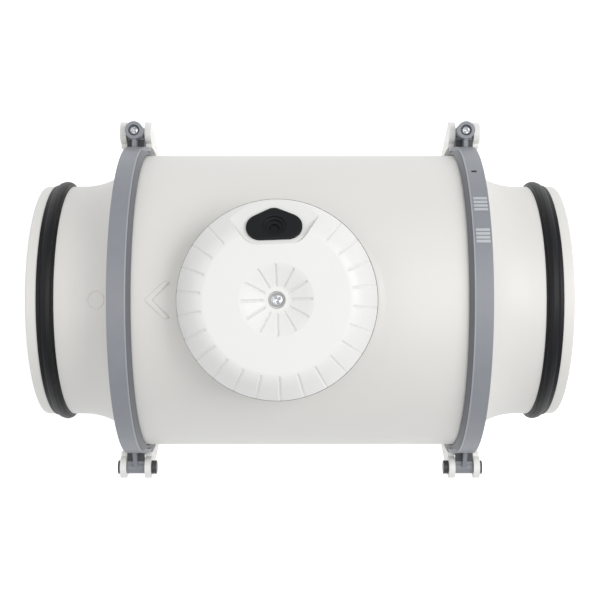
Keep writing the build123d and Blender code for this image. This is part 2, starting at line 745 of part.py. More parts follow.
def cover_groove(angle, start, stop, profile):
    """Blade that cuts one radial groove, following a (radius, height) profile of three points."""
    direction = (cos(radians(angle)), sin(radians(angle)), 0)
    across = (direction[1], -direction[0], 0)
    with BuildPart(mode=Mode.PRIVATE) as blade:
        with BuildSketch(Plane(origin=(BOX_X, 0, AXIS_HEIGHT), x_dir=direction, z_dir=across)):
            with BuildLine():
                ThreePointArc(*profile)
                Polyline(profile[2], (start, COVER_TOP + 5), (stop, COVER_TOP + 5), profile[0])
            make_face()
        extrude(amount=GROOVE_WIDTH / 2, both=True)
    return blade.part


slope_groove = (
    (COVER_R + 1, COVER_RIM - 2),
    (slope_mid_r + bulge_r - GROOVE_DEPTH, slope_mid_z + bulge_z - GROOVE_DEPTH),
    (GROOVE_IN, COVER_TOP - GROOVE_DEPTH),
)
dish_mid_r = (INNER_GROOVE_IN + DISH_R) / 2
dish_rise = (COVER_TOP - DISH_FLOOR) / (DISH_R - RING_R)


def dish_height(r):
    """Height of a groove's floor in the dish at radius r."""
    return DISH_FLOOR + dish_rise * (r - RING_R) - GROOVE_DEPTH


dish_groove = (
    (DISH_R, dish_height(DISH_R)),
    (dish_mid_r, dish_height(dish_mid_r) - 0.01),
    (INNER_GROOVE_IN, dish_height(INNER_GROOVE_IN)),
)

cavity = cover_form(COVER_WALL) - pocket_form(COVER_WALL)
grommet_plane = pocket_plane()
grommet_plane.origin = grommet_plane.origin + grommet_plane.y_dir * GROMMET_AT

with BuildPart() as terminal_cover:
    add(cover_form(0))
    add(pocket_form(0), mode=Mode.SUBTRACT)
    add(cavity, mode=Mode.SUBTRACT)
    for index in range(GROOVE_COUNT - GROOVES_MISSING):
        angle = COVER_TURN + first_groove + groove_step * index
        add(cover_groove(angle, GROOVE_IN, COVER_R + 1, slope_groove), mode=Mode.SUBTRACT)
    for index in range(INNER_GROOVES):
        angle = COVER_TURN + 360 / INNER_GROOVES * index
        add(cover_groove(angle, INNER_GROOVE_IN, DISH_R, dish_groove), mode=Mode.SUBTRACT)
    with BuildSketch(level(DISH_FLOOR, BOX_X)):
        Circle(COVER_RECESS_R)
    extrude(amount=-COVER_RECESS, mode=Mode.SUBTRACT)
    with BuildSketch(level(DISH_FLOOR, BOX_X)):
        Circle(COVER_SCREW_R + MOVING_GAP)
    extrude(amount=-COVER_RECESS - COVER_BOSS - 1, mode=Mode.SUBTRACT)
    with BuildSketch(grommet_plane):
        add(grommet_outline(GROMMET_NECK_INSET - STATIC_GAP))
    extrude(amount=2 * COVER_WALL, both=True, mode=Mode.SUBTRACT)
finish(terminal_cover, "terminal_cover")

neck = COVER_WALL + 2 * STATIC_GAP
with BuildPart() as cable_grommet:
    with BuildSketch(grommet_plane.offset(STATIC_GAP)):
        add(grommet_outline(0))
    extrude(amount=GROMMET_FLANGE)
    with BuildSketch(grommet_plane.offset(STATIC_GAP)):
        add(grommet_outline(GROMMET_NECK_INSET))
    extrude(amount=-neck)
    with BuildSketch(grommet_plane.offset(STATIC_GAP - neck)):
        add(grommet_outline(GROMMET_NECK_INSET / 2))
    extrude(amount=-GROMMET_FLANGE)
    step_top = STATIC_GAP + GROMMET_FLANGE
    for step_r, step_depth in GROMMET_STEPS:
        with BuildSketch(grommet_plane.offset(step_top)):
            Circle(step_r)
        extrude(amount=-step_depth, mode=Mode.SUBTRACT)
        step_top -= step_depth
finish(cable_grommet, "cable_grommet")

cover_seat = DISH_FLOOR - COVER_RECESS + STATIC_GAP
with BuildPart() as cover_screw:
    with BuildSketch(level(cover_seat, BOX_X)):
        Circle(COVER_HEAD_R)
    extrude(amount=COVER_HEAD_THICK)
    fillet(cover_screw.faces().sort_by(Axis.Z)[-1].edges(), COVER_HEAD_THICK / 3)
    with BuildSketch(level(cover_seat, BOX_X)):
        Circle(COVER_SCREW_R)
    extrude(amount=-COVER_SCREW_LENGTH)
    with BuildSketch(level(cover_seat + COVER_HEAD_THICK, BOX_X, 0, 30)):
        Rectangle(COVER_HEAD_R * 1.15, COVER_HEAD_R / 4)
        Rectangle(COVER_HEAD_R / 4, COVER_HEAD_R * 1.15)
    extrude(amount=-COVER_HEAD_THICK / 2, mode=Mode.SUBTRACT)
finish(cover_screw, "cover_screw")

with BuildPart() as cover_gasket:
    with BuildSketch(level(PEDESTAL_TOP + STATIC_GAP / 2, BOX_X)):
        Circle(PEDESTAL_R - STATIC_GAP)
        Circle(PEDESTAL_R - PEDESTAL_WALL + STATIC_GAP, mode=Mode.SUBTRACT)
    extrude(amount=COVER_BASE - PEDESTAL_TOP - MOVING_GAP - STATIC_GAP / 2)
finish(cover_gasket, "cover_gasket")

# ---------------------------------------------------------------- inside the terminal box

block_base = seat_height + STATIC_GAP
block_top = block_base + BLOCK_SIZE[2]
with BuildPart() as terminal_block:
    with BuildSketch(level(block_base, BLOCK_X, BLOCK_Y)):
        Rectangle(BLOCK_SIZE[0], BLOCK_SIZE[1])
    extrude(amount=BLOCK_SIZE[2])
    with BuildSketch(level(block_top, BLOCK_X, BLOCK_Y)):
        with GridLocations(0, TERMINAL_PITCH, 1, TERMINALS):
            Circle(TERMINAL_SCREW_R + RUNNING_FIT)
    extrude(amount=-TERMINAL_HOLE, mode=Mode.SUBTRACT)
    with BuildSketch(Plane.YZ.offset(BLOCK_X - BLOCK_SIZE[0] / 2)):
        with Locations((BLOCK_Y, AXIS_HEIGHT + block_base + WIRE_HEIGHT)):
            with GridLocations(TERMINAL_PITCH, 0, TERMINALS, 1):
                Circle(WIRE_R)
    extrude(amount=BLOCK_SIZE[0], mode=Mode.SUBTRACT)
    for index in range(TERMINALS - 1):
        with BuildSketch(level(block_top, BLOCK_X, BLOCK_Y + (index + 1 - TERMINALS / 2) * TERMINAL_PITCH)):
            Rectangle(BLOCK_SIZE[0], 1.0)
        extrude(amount=-BLOCK_SIZE[2] / 3, mode=Mode.SUBTRACT)
finish(terminal_block, "terminal_block")

with BuildPart() as terminal_screws:
    with BuildSketch(level(block_top - 1.0, BLOCK_X, BLOCK_Y)):
        with GridLocations(0, TERMINAL_PITCH, 1, TERMINALS):
            Circle(TERMINAL_SCREW_R)
    extrude(amount=-TERMINAL_HOLE + 2.5)
    with BuildSketch(level(block_top - 1.0, BLOCK_X, BLOCK_Y)):
        with GridLocations(0, TERMINAL_PITCH, 1, TERMINALS):
            Rectangle(3 * TERMINAL_SCREW_R, 0.6)
    extrude(amount=-0.8, mode=Mode.SUBTRACT)
finish(terminal_screws, "terminal_screws")

capacitor_height = sqrt((CASING_R + CAPACITOR_R + MOVING_GAP) ** 2 - CAPACITOR_Y**2)
with BuildPart() as capacitor:
    with BuildSketch(cross(BOX_X - CAPACITOR_LENGTH / 2)):
        with Locations((CAPACITOR_Y, capacitor_height)):
            Circle(CAPACITOR_R)
    extrude(amount=CAPACITOR_LENGTH)
    fillet(capacitor.edges().filter_by(GeomType.CIRCLE), 1.5)
    with BuildSketch(cross(BOX_X + CAPACITOR_LENGTH / 2)):
        with Locations((CAPACITOR_Y, capacitor_height)):
            with GridLocations(TAG_SPACING, 0, 2, 1):
                Rectangle(TAG_SIZE[0], TAG_SIZE[1])
    extrude(amount=TAG_SIZE[2])
finish(capacitor, "capacitor")

with BuildPart() as cord_strap:
    with BuildSketch(level(strap_height + STATIC_GAP, BOX_X, STRAP_Y)):
        RectangleRounded(STRAP_SIZE[0], STRAP_SIZE[1], 2.5)
        with GridLocations(STRAP_SCREW_SPACING, 0, 2, 1):
            Circle(STRAP_SCREW_R + STATIC_GAP, mode=Mode.SUBTRACT)
    extrude(amount=STRAP_SIZE[2])
finish(cord_strap, "cord_strap")

strap_top = strap_height + STRAP_SIZE[2] + 2 * STATIC_GAP
with BuildPart() as strap_screws:
    with BuildSketch(level(strap_top, BOX_X, STRAP_Y)):
        with GridLocations(STRAP_SCREW_SPACING, 0, 2, 1):
            Circle(2 * STRAP_SCREW_R)
    extrude(amount=1.8)
    with BuildSketch(level(strap_top, BOX_X, STRAP_Y)):
        with GridLocations(STRAP_SCREW_SPACING, 0, 2, 1):
            Circle(STRAP_SCREW_R)
    extrude(amount=-STRAP_SCREW_LENGTH)
finish(strap_screws, "strap_screws")

# ---------------------------------------------------------------- air path

cone_ring_r = CASING_BORE - STATIC_GAP
cone_mid_x = 0.62 * CONE_THROAT_X + 0.38 * CONE_RING
cone_mid_r = CONE_THROAT_R + 0.21 * (cone_ring_r - CONE_THROAT_R)
with BuildPart() as inlet_cone:
    with BuildSketch(MERIDIAN):
        with BuildLine():
            ThreePointArc(
                (CONE_END, cone_ring_r - CONE_RING_WALL),
                (cone_mid_x, cone_mid_r),
                (CONE_THROAT_X, CONE_THROAT_R),
            )
            Line((CONE_THROAT_X, CONE_THROAT_R), (CONE_THROAT_X, CONE_THROAT_R + CONE_WALL))
            ThreePointArc(
                (CONE_THROAT_X, CONE_THROAT_R + CONE_WALL),
                (cone_mid_x, cone_mid_r + CONE_WALL),
                (CONE_RING, cone_ring_r - 1.2 * CONE_WALL),
            )
            Polyline(
                (CONE_RING, cone_ring_r - 1.2 * CONE_WALL),
                (CONE_RING, cone_ring_r),
                (CONE_END, cone_ring_r),
                (CONE_END, cone_ring_r - CONE_RING_WALL),
            )
        make_face()
    revolve(axis=DUCT_AXIS)
finish(inlet_cone, "inlet_cone")


def curved_blades(count, inner_r, outer_r, bow, thick):
    """Sketch of bowed blades round the duct axis, across the duct."""
    with BuildSketch(mode=Mode.PRIVATE) as blade:
        with BuildLine():
            ThreePointArc((0, inner_r), (bow, (inner_r + outer_r) / 2), (0, outer_r))
            Line((0, outer_r), (thick, outer_r))
            ThreePointArc((thick, outer_r), (bow + thick, (inner_r + outer_r) / 2), (thick, inner_r))
            Line((thick, inner_r), (0, inner_r))
        make_face()
    with BuildSketch(mode=Mode.PRIVATE) as ring:
        with PolarLocations(0, count):
            add(blade.sketch)
    return ring.sketch


hub_arc = ((IMPELLER_EYE_X, HUB_NOSE_R), HUB_MID, (IMPELLER_TIP_X, HUB_TAIL_R))
eye_arc = ((IMPELLER_EYE_X, IMPELLER_EYE_R), EYE_MID, (IMPELLER_TIP_X, IMPELLER_TIP_R))


def lowered(arc, depth):
    """The same arc, nearer the duct axis by a depth."""
    return tuple((x, r - depth) for x, r in arc)


with BuildPart() as impeller:
    with BuildSketch(cross(IMPELLER_TIP_X)):
        add(curved_blades(BLADE_COUNT, HUB_NOSE_R - 4, IMPELLER_TIP_R + 1, BLADE_BOW, BLADE_THICK))
    extrude(amount=IMPELLER_EYE_X - IMPELLER_TIP_X - 1)
    with BuildSketch(MERIDIAN):
        with BuildLine():
            ThreePointArc(*lowered(hub_arc, IMPELLER_SKIN / 2))
            Line(lowered(hub_arc, IMPELLER_SKIN / 2)[2], lowered(eye_arc, -IMPELLER_SKIN / 2)[2])
            ThreePointArc(*lowered(eye_arc, -IMPELLER_SKIN / 2))
            Line(lowered(eye_arc, -IMPELLER_SKIN / 2)[0], lowered(hub_arc, IMPELLER_SKIN / 2)[0])
        make_face()
    revolve(axis=DUCT_AXIS, mode=Mode.INTERSECT)
    for arc in (hub_arc, lowered(eye_arc, -IMPELLER_SKIN)):
        inner = lowered(arc, IMPELLER_SKIN)
        with BuildSketch(MERIDIAN):
            with BuildLine():
                ThreePointArc(*arc)
                Line(arc[2], inner[2])
                ThreePointArc(*inner)
                Line(inner[0], arc[0])
            make_face()
        revolve(axis=DUCT_AXIS)
    with BuildSketch(cross(IMPELLER_EYE_X)):
        Circle(HUB_NOSE_R)
        Circle(SHAFT_R + RUNNING_FIT, mode=Mode.SUBTRACT)
    extrude(amount=-2 * IMPELLER_SKIN)
    with BuildSketch(cross(IMPELLER_EYE_X)):
        Circle(IMPELLER_BOSS_R)
        Circle(SHAFT_R + RUNNING_FIT, mode=Mode.SUBTRACT)
    extrude(amount=-IMPELLER_BOSS_LENGTH)
finish(impeller, "impeller")

ring_r = CASING_BORE - STATIC_GAP
hub_front_r = HUB_TAIL_R - 2
with BuildPart() as guide_vane_carrier:
    with BuildSketch(cross(CARRIER_BACK + CARRIER_RING_BACK + VANE_INSET)):
        add(curved_blades(VANE_COUNT, CARRIER_HUB_R, ring_r - CARRIER_RING / 2, -VANE_BOW, VANE_THICK))
    extrude(amount=CARRIER_RING_LENGTH - 2 * VANE_INSET)
    with BuildSketch(MERIDIAN):
        Polygon(
            (CARRIER_FRONT, 0),
            (CARRIER_FRONT, hub_front_r - CARRIER_WALL / 2),
            (CARRIER_BACK, TAIL_R - CARRIER_WALL / 2),
            (CARRIER_BACK, 0),
            align=None,
        )
    revolve(axis=DUCT_AXIS, mode=Mode.SUBTRACT)
    with BuildSketch(MERIDIAN):
        Polygon(
            (CARRIER_FRONT, hub_front_r),
            (CARRIER_BACK, TAIL_R),
            (CARRIER_BACK, TAIL_R - CARRIER_WALL),
            (CARRIER_FRONT - CARRIER_WALL, hub_front_r - CARRIER_WALL),
            (CARRIER_FRONT - CARRIER_WALL, SHAFT_OPENING_R),
            (CARRIER_FRONT, SHAFT_OPENING_R),
            align=None,
        )
    revolve(axis=DUCT_AXIS)
    with BuildSketch(cross(CARRIER_BACK + CARRIER_RING_BACK)):
        Circle(ring_r)
        Circle(ring_r - CARRIER_RING, mode=Mode.SUBTRACT)
    extrude(amount=CARRIER_RING_LENGTH)
    with BuildSketch(cross(CARRIER_FRONT)):
        with PolarLocations(MOTOR_SCREW_PCD / 2, 4, 45):
            Circle(MOTOR_SCREW_R + STATIC_GAP)
    extrude(amount=-CARRIER_WALL, mode=Mode.SUBTRACT)
finish(guide_vane_carrier, "guide_vane_carrier")

tail_front = CARRIER_BACK - STATIC_GAP
dome_r = (TAIL_R**2 + TAIL_LENGTH**2) / (2 * TAIL_LENGTH)
dome_x = tail_front - TAIL_LENGTH + dome_r


def dome_arc(radius):
    """Arc of the tail cone's dome from its nose to its rim, for a radius about the dome's centre."""
    rim_angle = acos((dome_x - tail_front) / radius)
    mid = (dome_x - radius * cos(rim_angle / 2), radius * sin(rim_angle / 2))
    return ((dome_x - radius, 0), mid, (tail_front, radius * sin(rim_angle)))


with BuildPart() as tail_cone:
    with BuildSketch(MERIDIAN):
        with BuildLine():
            ThreePointArc(*dome_arc(dome_r))
            Line(dome_arc(dome_r)[2], dome_arc(dome_r - CARRIER_WALL)[2])
            ThreePointArc(*dome_arc(dome_r - CARRIER_WALL))
            Line(dome_arc(dome_r - CARRIER_WALL)[0], dome_arc(dome_r)[0])
        make_face()
    revolve(axis=DUCT_AXIS)
finish(tail_cone, "tail_cone")

# ---------------------------------------------------------------- motor

seat_r = BEARING_R + RUNNING_FIT
boss_r = BEARING_R + 2.5
rear_bearing_x = MOTOR_BACK + MOTOR_WALL + STATIC_GAP
shield_front = CARRIER_FRONT - CARRIER_WALL - STATIC_GAP
shield_back = shield_front - SHIELD_THICK
front_bearing_x = shield_front - MOTOR_WALL - STATIC_GAP - BEARING_WIDTH

with BuildPart() as motor_housing:
    with BuildSketch(MERIDIAN):
        Polygon(
            (MOTOR_BACK, 0),
            (MOTOR_BACK, MOTOR_R),
            (shield_back - STATIC_GAP, MOTOR_R),
            (shield_back - STATIC_GAP, MOTOR_R - MOTOR_WALL),
            (MOTOR_BACK + MOTOR_WALL, MOTOR_R - MOTOR_WALL),
            (MOTOR_BACK + MOTOR_WALL, boss_r),
            (rear_bearing_x + BEARING_WIDTH, boss_r),
            (rear_bearing_x + BEARING_WIDTH, seat_r),
            (MOTOR_BACK + MOTOR_WALL, seat_r),
            (MOTOR_BACK + MOTOR_WALL, 0),
            align=None,
        )
    revolve(axis=DUCT_AXIS)
finish(motor_housing, "motor_housing")

with BuildPart() as motor_end_shield:
    with BuildSketch(MERIDIAN):
        Polygon(
            (shield_front, SHAFT_R + 2),
            (shield_front, MOTOR_R),
            (shield_back, MOTOR_R),
            (shield_back, boss_r),
            (front_bearing_x, boss_r),
            (front_bearing_x, seat_r),
            (shield_front - MOTOR_WALL, seat_r),
            (shield_front - MOTOR_WALL, SHAFT_R + 2),
            align=None,
        )
    revolve(axis=DUCT_AXIS)
    with BuildSketch(cross(shield_front)):
        with PolarLocations(MOTOR_SCREW_PCD / 2, 4, 45):
            Circle(MOTOR_SCREW_R + RUNNING_FIT)
    extrude(amount=-SHIELD_THICK, mode=Mode.SUBTRACT)
finish(motor_end_shield, "motor_end_shield")

with BuildPart() as motor_screws:
    with BuildSketch(cross(CARRIER_FRONT + STATIC_GAP)):
        with PolarLocations(MOTOR_SCREW_PCD / 2, 4, 45):
            Circle(MOTOR_SCREW_HEAD)
    extrude(amount=2.0)
    with BuildSketch(cross(CARRIER_FRONT + STATIC_GAP)):
        with PolarLocations(MOTOR_SCREW_PCD / 2, 4, 45):
            Circle(MOTOR_SCREW_R)
    extrude(amount=shield_back - CARRIER_FRONT)
finish(motor_screws, "motor_screws")

for name, start in (("front_bearing", front_bearing_x), ("rear_bearing", rear_bearing_x)):
    with BuildPart() as bearing:
        with BuildSketch(cross(start)):
            Circle(BEARING_R)
            Circle(SHAFT_R + RUNNING_FIT, mode=Mode.SUBTRACT)
        extrude(amount=BEARING_WIDTH - STATIC_GAP)
        with BuildSketch(cross(start)):
            Circle(BEARING_R - 2)
            Circle(SHAFT_R + 2, mode=Mode.SUBTRACT)
        extrude(amount=0.8, mode=Mode.SUBTRACT)
    finish(bearing, name)

with BuildPart() as stator_core:
    with BuildSketch(cross(STATOR_BACK)):
        Circle(MOTOR_R - MOTOR_WALL - STATIC_GAP)
        Circle(STATOR_BORE, mode=Mode.SUBTRACT)
        with PolarLocations((WINDING_OUT + WINDING_IN) / 2, 12):
            SlotOverall(WINDING_OUT - WINDING_IN, 4, mode=Mode.SUBTRACT)
    extrude(amount=STATOR_FRONT - STATOR_BACK)
finish(stator_core, "stator_core")

with BuildPart() as stator_windings:
    for start in (STATOR_FRONT + STATIC_GAP, STATOR_BACK - STATIC_GAP - WINDING_LENGTH * 0.8):
        with BuildSketch(MERIDIAN):
            with Locations((start + WINDING_LENGTH * 0.4, (WINDING_OUT + WINDING_IN) / 2)):
                RectangleRounded(WINDING_LENGTH * 0.8, WINDING_OUT - WINDING_IN, 3)
        revolve(axis=DUCT_AXIS)
finish(stator_windings, "stator_windings")

with BuildPart() as motor_rotor:
    with BuildSketch(cross(STATOR_BACK)):
        Circle(STATOR_BORE - AIR_GAP)
        Circle(SHAFT_R + RUNNING_FIT, mode=Mode.SUBTRACT)
    extrude(amount=STATOR_FRONT - STATOR_BACK)
finish(motor_rotor, "motor_rotor")

shaft_back = MOTOR_BACK + MOTOR_WALL + MOVING_GAP
with BuildPart() as motor_shaft:
    with BuildSketch(cross(shaft_back)):
        Circle(SHAFT_R)
    extrude(amount=SHAFT_FRONT - shaft_back)
    chamfer(motor_shaft.faces().sort_by(Axis.X)[-1].edges(), 0.8)
finish(motor_shaft, "motor_shaft")

with BuildPart() as impeller_nut:
    with BuildSketch(cross(IMPELLER_EYE_X + STATIC_GAP)):
        RegularPolygon(NUT_R, 6)
        Circle(SHAFT_R + RUNNING_FIT, mode=Mode.SUBTRACT)
    extrude(amount=IMPELLER_NUT)
finish(impeller_nut, "impeller_nut")
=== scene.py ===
"""Studio scene of an inline duct fan: its mouldings, seals, clamps and terminal box, on a pale floor.

Lengths are written in millimetres and turned to metres where a mesh is made. The frame is the
part's own: +X along the duct towards the inlet, +Y towards the clamp screws, +Z up through the
terminal cover, with the base on z = 0.
"""

import logging
import math
from dataclasses import dataclass
from enum import Enum
from typing import Any

import bmesh
import bpy
import numpy as np
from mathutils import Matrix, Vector

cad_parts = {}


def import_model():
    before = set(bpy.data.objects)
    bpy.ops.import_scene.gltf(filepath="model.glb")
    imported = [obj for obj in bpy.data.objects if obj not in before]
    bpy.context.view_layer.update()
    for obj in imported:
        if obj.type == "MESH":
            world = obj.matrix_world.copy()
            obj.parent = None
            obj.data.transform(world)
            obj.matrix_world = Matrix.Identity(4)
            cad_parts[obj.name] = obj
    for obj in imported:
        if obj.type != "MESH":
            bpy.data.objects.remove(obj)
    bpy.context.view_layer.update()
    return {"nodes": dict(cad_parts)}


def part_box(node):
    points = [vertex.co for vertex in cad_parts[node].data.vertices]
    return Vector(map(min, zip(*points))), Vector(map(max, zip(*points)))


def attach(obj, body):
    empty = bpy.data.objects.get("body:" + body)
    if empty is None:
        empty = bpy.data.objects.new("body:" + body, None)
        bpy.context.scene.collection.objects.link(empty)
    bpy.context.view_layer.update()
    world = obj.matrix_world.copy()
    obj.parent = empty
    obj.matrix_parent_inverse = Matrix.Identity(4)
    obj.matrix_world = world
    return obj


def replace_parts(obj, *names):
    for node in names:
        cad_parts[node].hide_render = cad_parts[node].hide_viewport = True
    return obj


log = logging.getLogger("duct_fan")

MM = 0.001
Point = tuple[float, float]
Point3 = tuple[float, float, float]


class Body(Enum):
    """Bodies of the part that new pieces ride on."""

    FRAME = "frame"
    COVER = "cover"
    OUTLET_CLAMP = "outlet_clamp"
    INLET_CLAMP = "inlet_clamp"
    OUTLET_SCREW = "outlet_screw"
    INLET_SCREW = "inlet_screw"
    COVER_FASTENER = "cover_fastener"


class End(Enum):
    """The two ends of the duct line: which way each lies along X."""

    OUTLET = -1
    INLET = 1

    @property
    def label(self) -> str:
        """Name of the end in piece names."""
        return self.name.lower()

    @property
    def clamp_body(self) -> Body:
        """Body of the end's opening clamp half."""
        return Body.INLET_CLAMP if self is End.INLET else Body.OUTLET_CLAMP


# ------------------------------------------------------------------ finishes


def linear(hex_colour: str) -> tuple[float, float, float, float]:
    """Turn an sRGB hex colour to linear RGBA.

    Args:
        hex_colour: Six hex digits, with or without a leading hash.

    Returns:
        Linear red, green, blue and an alpha of one.
    """
    digits = hex_colour.lstrip("#")
    channels = [int(digits[i : i + 2], 16) / 255 for i in (0, 2, 4)]
    low = [c / 12.92 if c <= 0.04045 else ((c + 0.055) / 1.055) ** 2.4 for c in channels]
    return (low[0], low[1], low[2], 1.0)


def per_metre(size_mm: float) -> float:
    """Texture scale at which one feature measures size_mm."""
    return 1.0 / (size_mm * MM)


def add_node(
    tree: bpy.types.NodeTree, kind: str, settings: dict[str, Any], links: dict[str, Any]
) -> bpy.types.Node:
    """Add one shader node with its settings, values and links.

    Args:
        tree: Node tree of the material.
        kind: Blender's type name of the node.
        settings: Node properties by name.
        links: Input sockets by name, each with a value or with the output socket that feeds it.

    Returns:
        The new node.
    """
    node = tree.nodes.new(kind)
    for key, value in settings.items():
        setattr(node, key, value)
    for key, value in links.items():
        socket = node.inputs[int(key)] if key.isdigit() else node.inputs[key]
        if isinstance(value, bpy.types.NodeSocket):
            tree.links.new(value, socket)
        else:
            socket.default_value = value
    return node


@dataclass(frozen=True)
class Finish:
    """What every finish has: a name, two near colours it drifts between, gloss and a surface grain."""

    name: str
    slot: str
    colour: str
    drift_colour: str
    roughness: float
    grain_mm: float
    grain_depth_mm: float
    drift_mm: float = 38.0
    metallic: float = 0.0
    ior: float = 1.5
    edge_mm: float = 0.35

    def material(self) -> bpy.types.Material:
        """Build the finish, or return it if it is already there.

        Returns:
            The node material.
        """
        found = bpy.data.materials.get(self.name)
        if found is not None:
            return found
        made = bpy.data.materials.new(self.name)
        made.use_nodes = True
        tree = made.node_tree
        shader = tree.nodes["Principled BSDF"]
        place = add_node(tree, "ShaderNodeTexCoord", {}, {})
        vector = place.outputs["Object"]
        drift = add_node(
            tree,
            "ShaderNodeTexNoise",
            {},
            {"Vector": vector, "Scale": per_metre(self.drift_mm), "Detail": 3.0, "Roughness": 0.55},
        )
        colour = add_node(
            tree,
            "ShaderNodeMix",
            {"data_type": "RGBA"},
            {"Factor": drift.outputs["Fac"], "6": linear(self.colour), "7": linear(self.drift_colour)},
        )
        tree.links.new(colour.outputs[2], shader.inputs["Base Color"])
        gloss = add_node(
            tree,
            "ShaderNodeMapRange",
            {},
            {
                "Value": drift.outputs["Fac"],
                "To Min": self.roughness - 0.04,
                "To Max": self.roughness + 0.05,
            },
        )
        tree.links.new(gloss.outputs["Result"], shader.inputs["Roughness"])
        shader.inputs["Metallic"].default_value = self.metallic
        if not self.metallic:
            shader.inputs["IOR"].default_value = self.ior
        tree.links.new(self.relief(tree, vector), shader.inputs["Normal"])
        return made

    def relief(self, tree: bpy.types.NodeTree, vector: bpy.types.NodeSocket) -> bpy.types.NodeSocket:
        """Surface grain as a bump over softly rounded edges.

        Args:
            tree: Node tree of the material.
            vector: Mapped coordinates in the part's frame.

        Returns:
            The normal that the shader takes.
        """
        edges = add_node(tree, "ShaderNodeBevel", {"samples": 4}, {"Radius": self.edge_mm * MM})
        grain = add_node(
            tree,
            "ShaderNodeTexNoise",
            {},
            {"Vector": vector, "Scale": per_metre(self.grain_mm), "Detail": 4.0, "Roughness": 0.6},
        )
        bump = add_node(
            tree,
            "ShaderNodeBump",
            {},
            {
                "Strength": 0.6,
                "Distance": self.grain_depth_mm * MM,
                "Height": grain.outputs["Fac"],
                "Normal": edges.outputs["Normal"],
            },
        )
        return bump.outputs["Normal"]


@dataclass(frozen=True)
class BrushedFinish(Finish):
    """A metal with fine turning or rolling lines along one direction."""

    def relief(self, tree: bpy.types.NodeTree, vector: bpy.types.NodeSocket) -> bpy.types.NodeSocket:
        """Fine parallel lines across the surface.

        Args:
            tree: Node tree of the material.
            vector: Mapped coordinates in the part's frame.

        Returns:
            The normal that the shader takes.
        """
        edges = add_node(tree, "ShaderNodeBevel", {"samples": 4}, {"Radius": self.edge_mm * MM})
        lines = add_node(
            tree,
            "ShaderNodeTexWave",
            {"bands_direction": "Z"},
            {
                "Vector": vector,
                "Scale": per_metre(self.grain_mm) / math.tau,
                "Distortion": 3.0,
                "Detail": 2.0,
            },
        )
        bump = add_node(
            tree,
            "ShaderNodeBump",
            {},
            {
                "Strength": 0.5,
                "Distance": self.grain_depth_mm * MM,
                "Height": lines.outputs["Fac"],
                "Normal": edges.outputs["Normal"],
            },
        )
        return bump.outputs["Normal"]


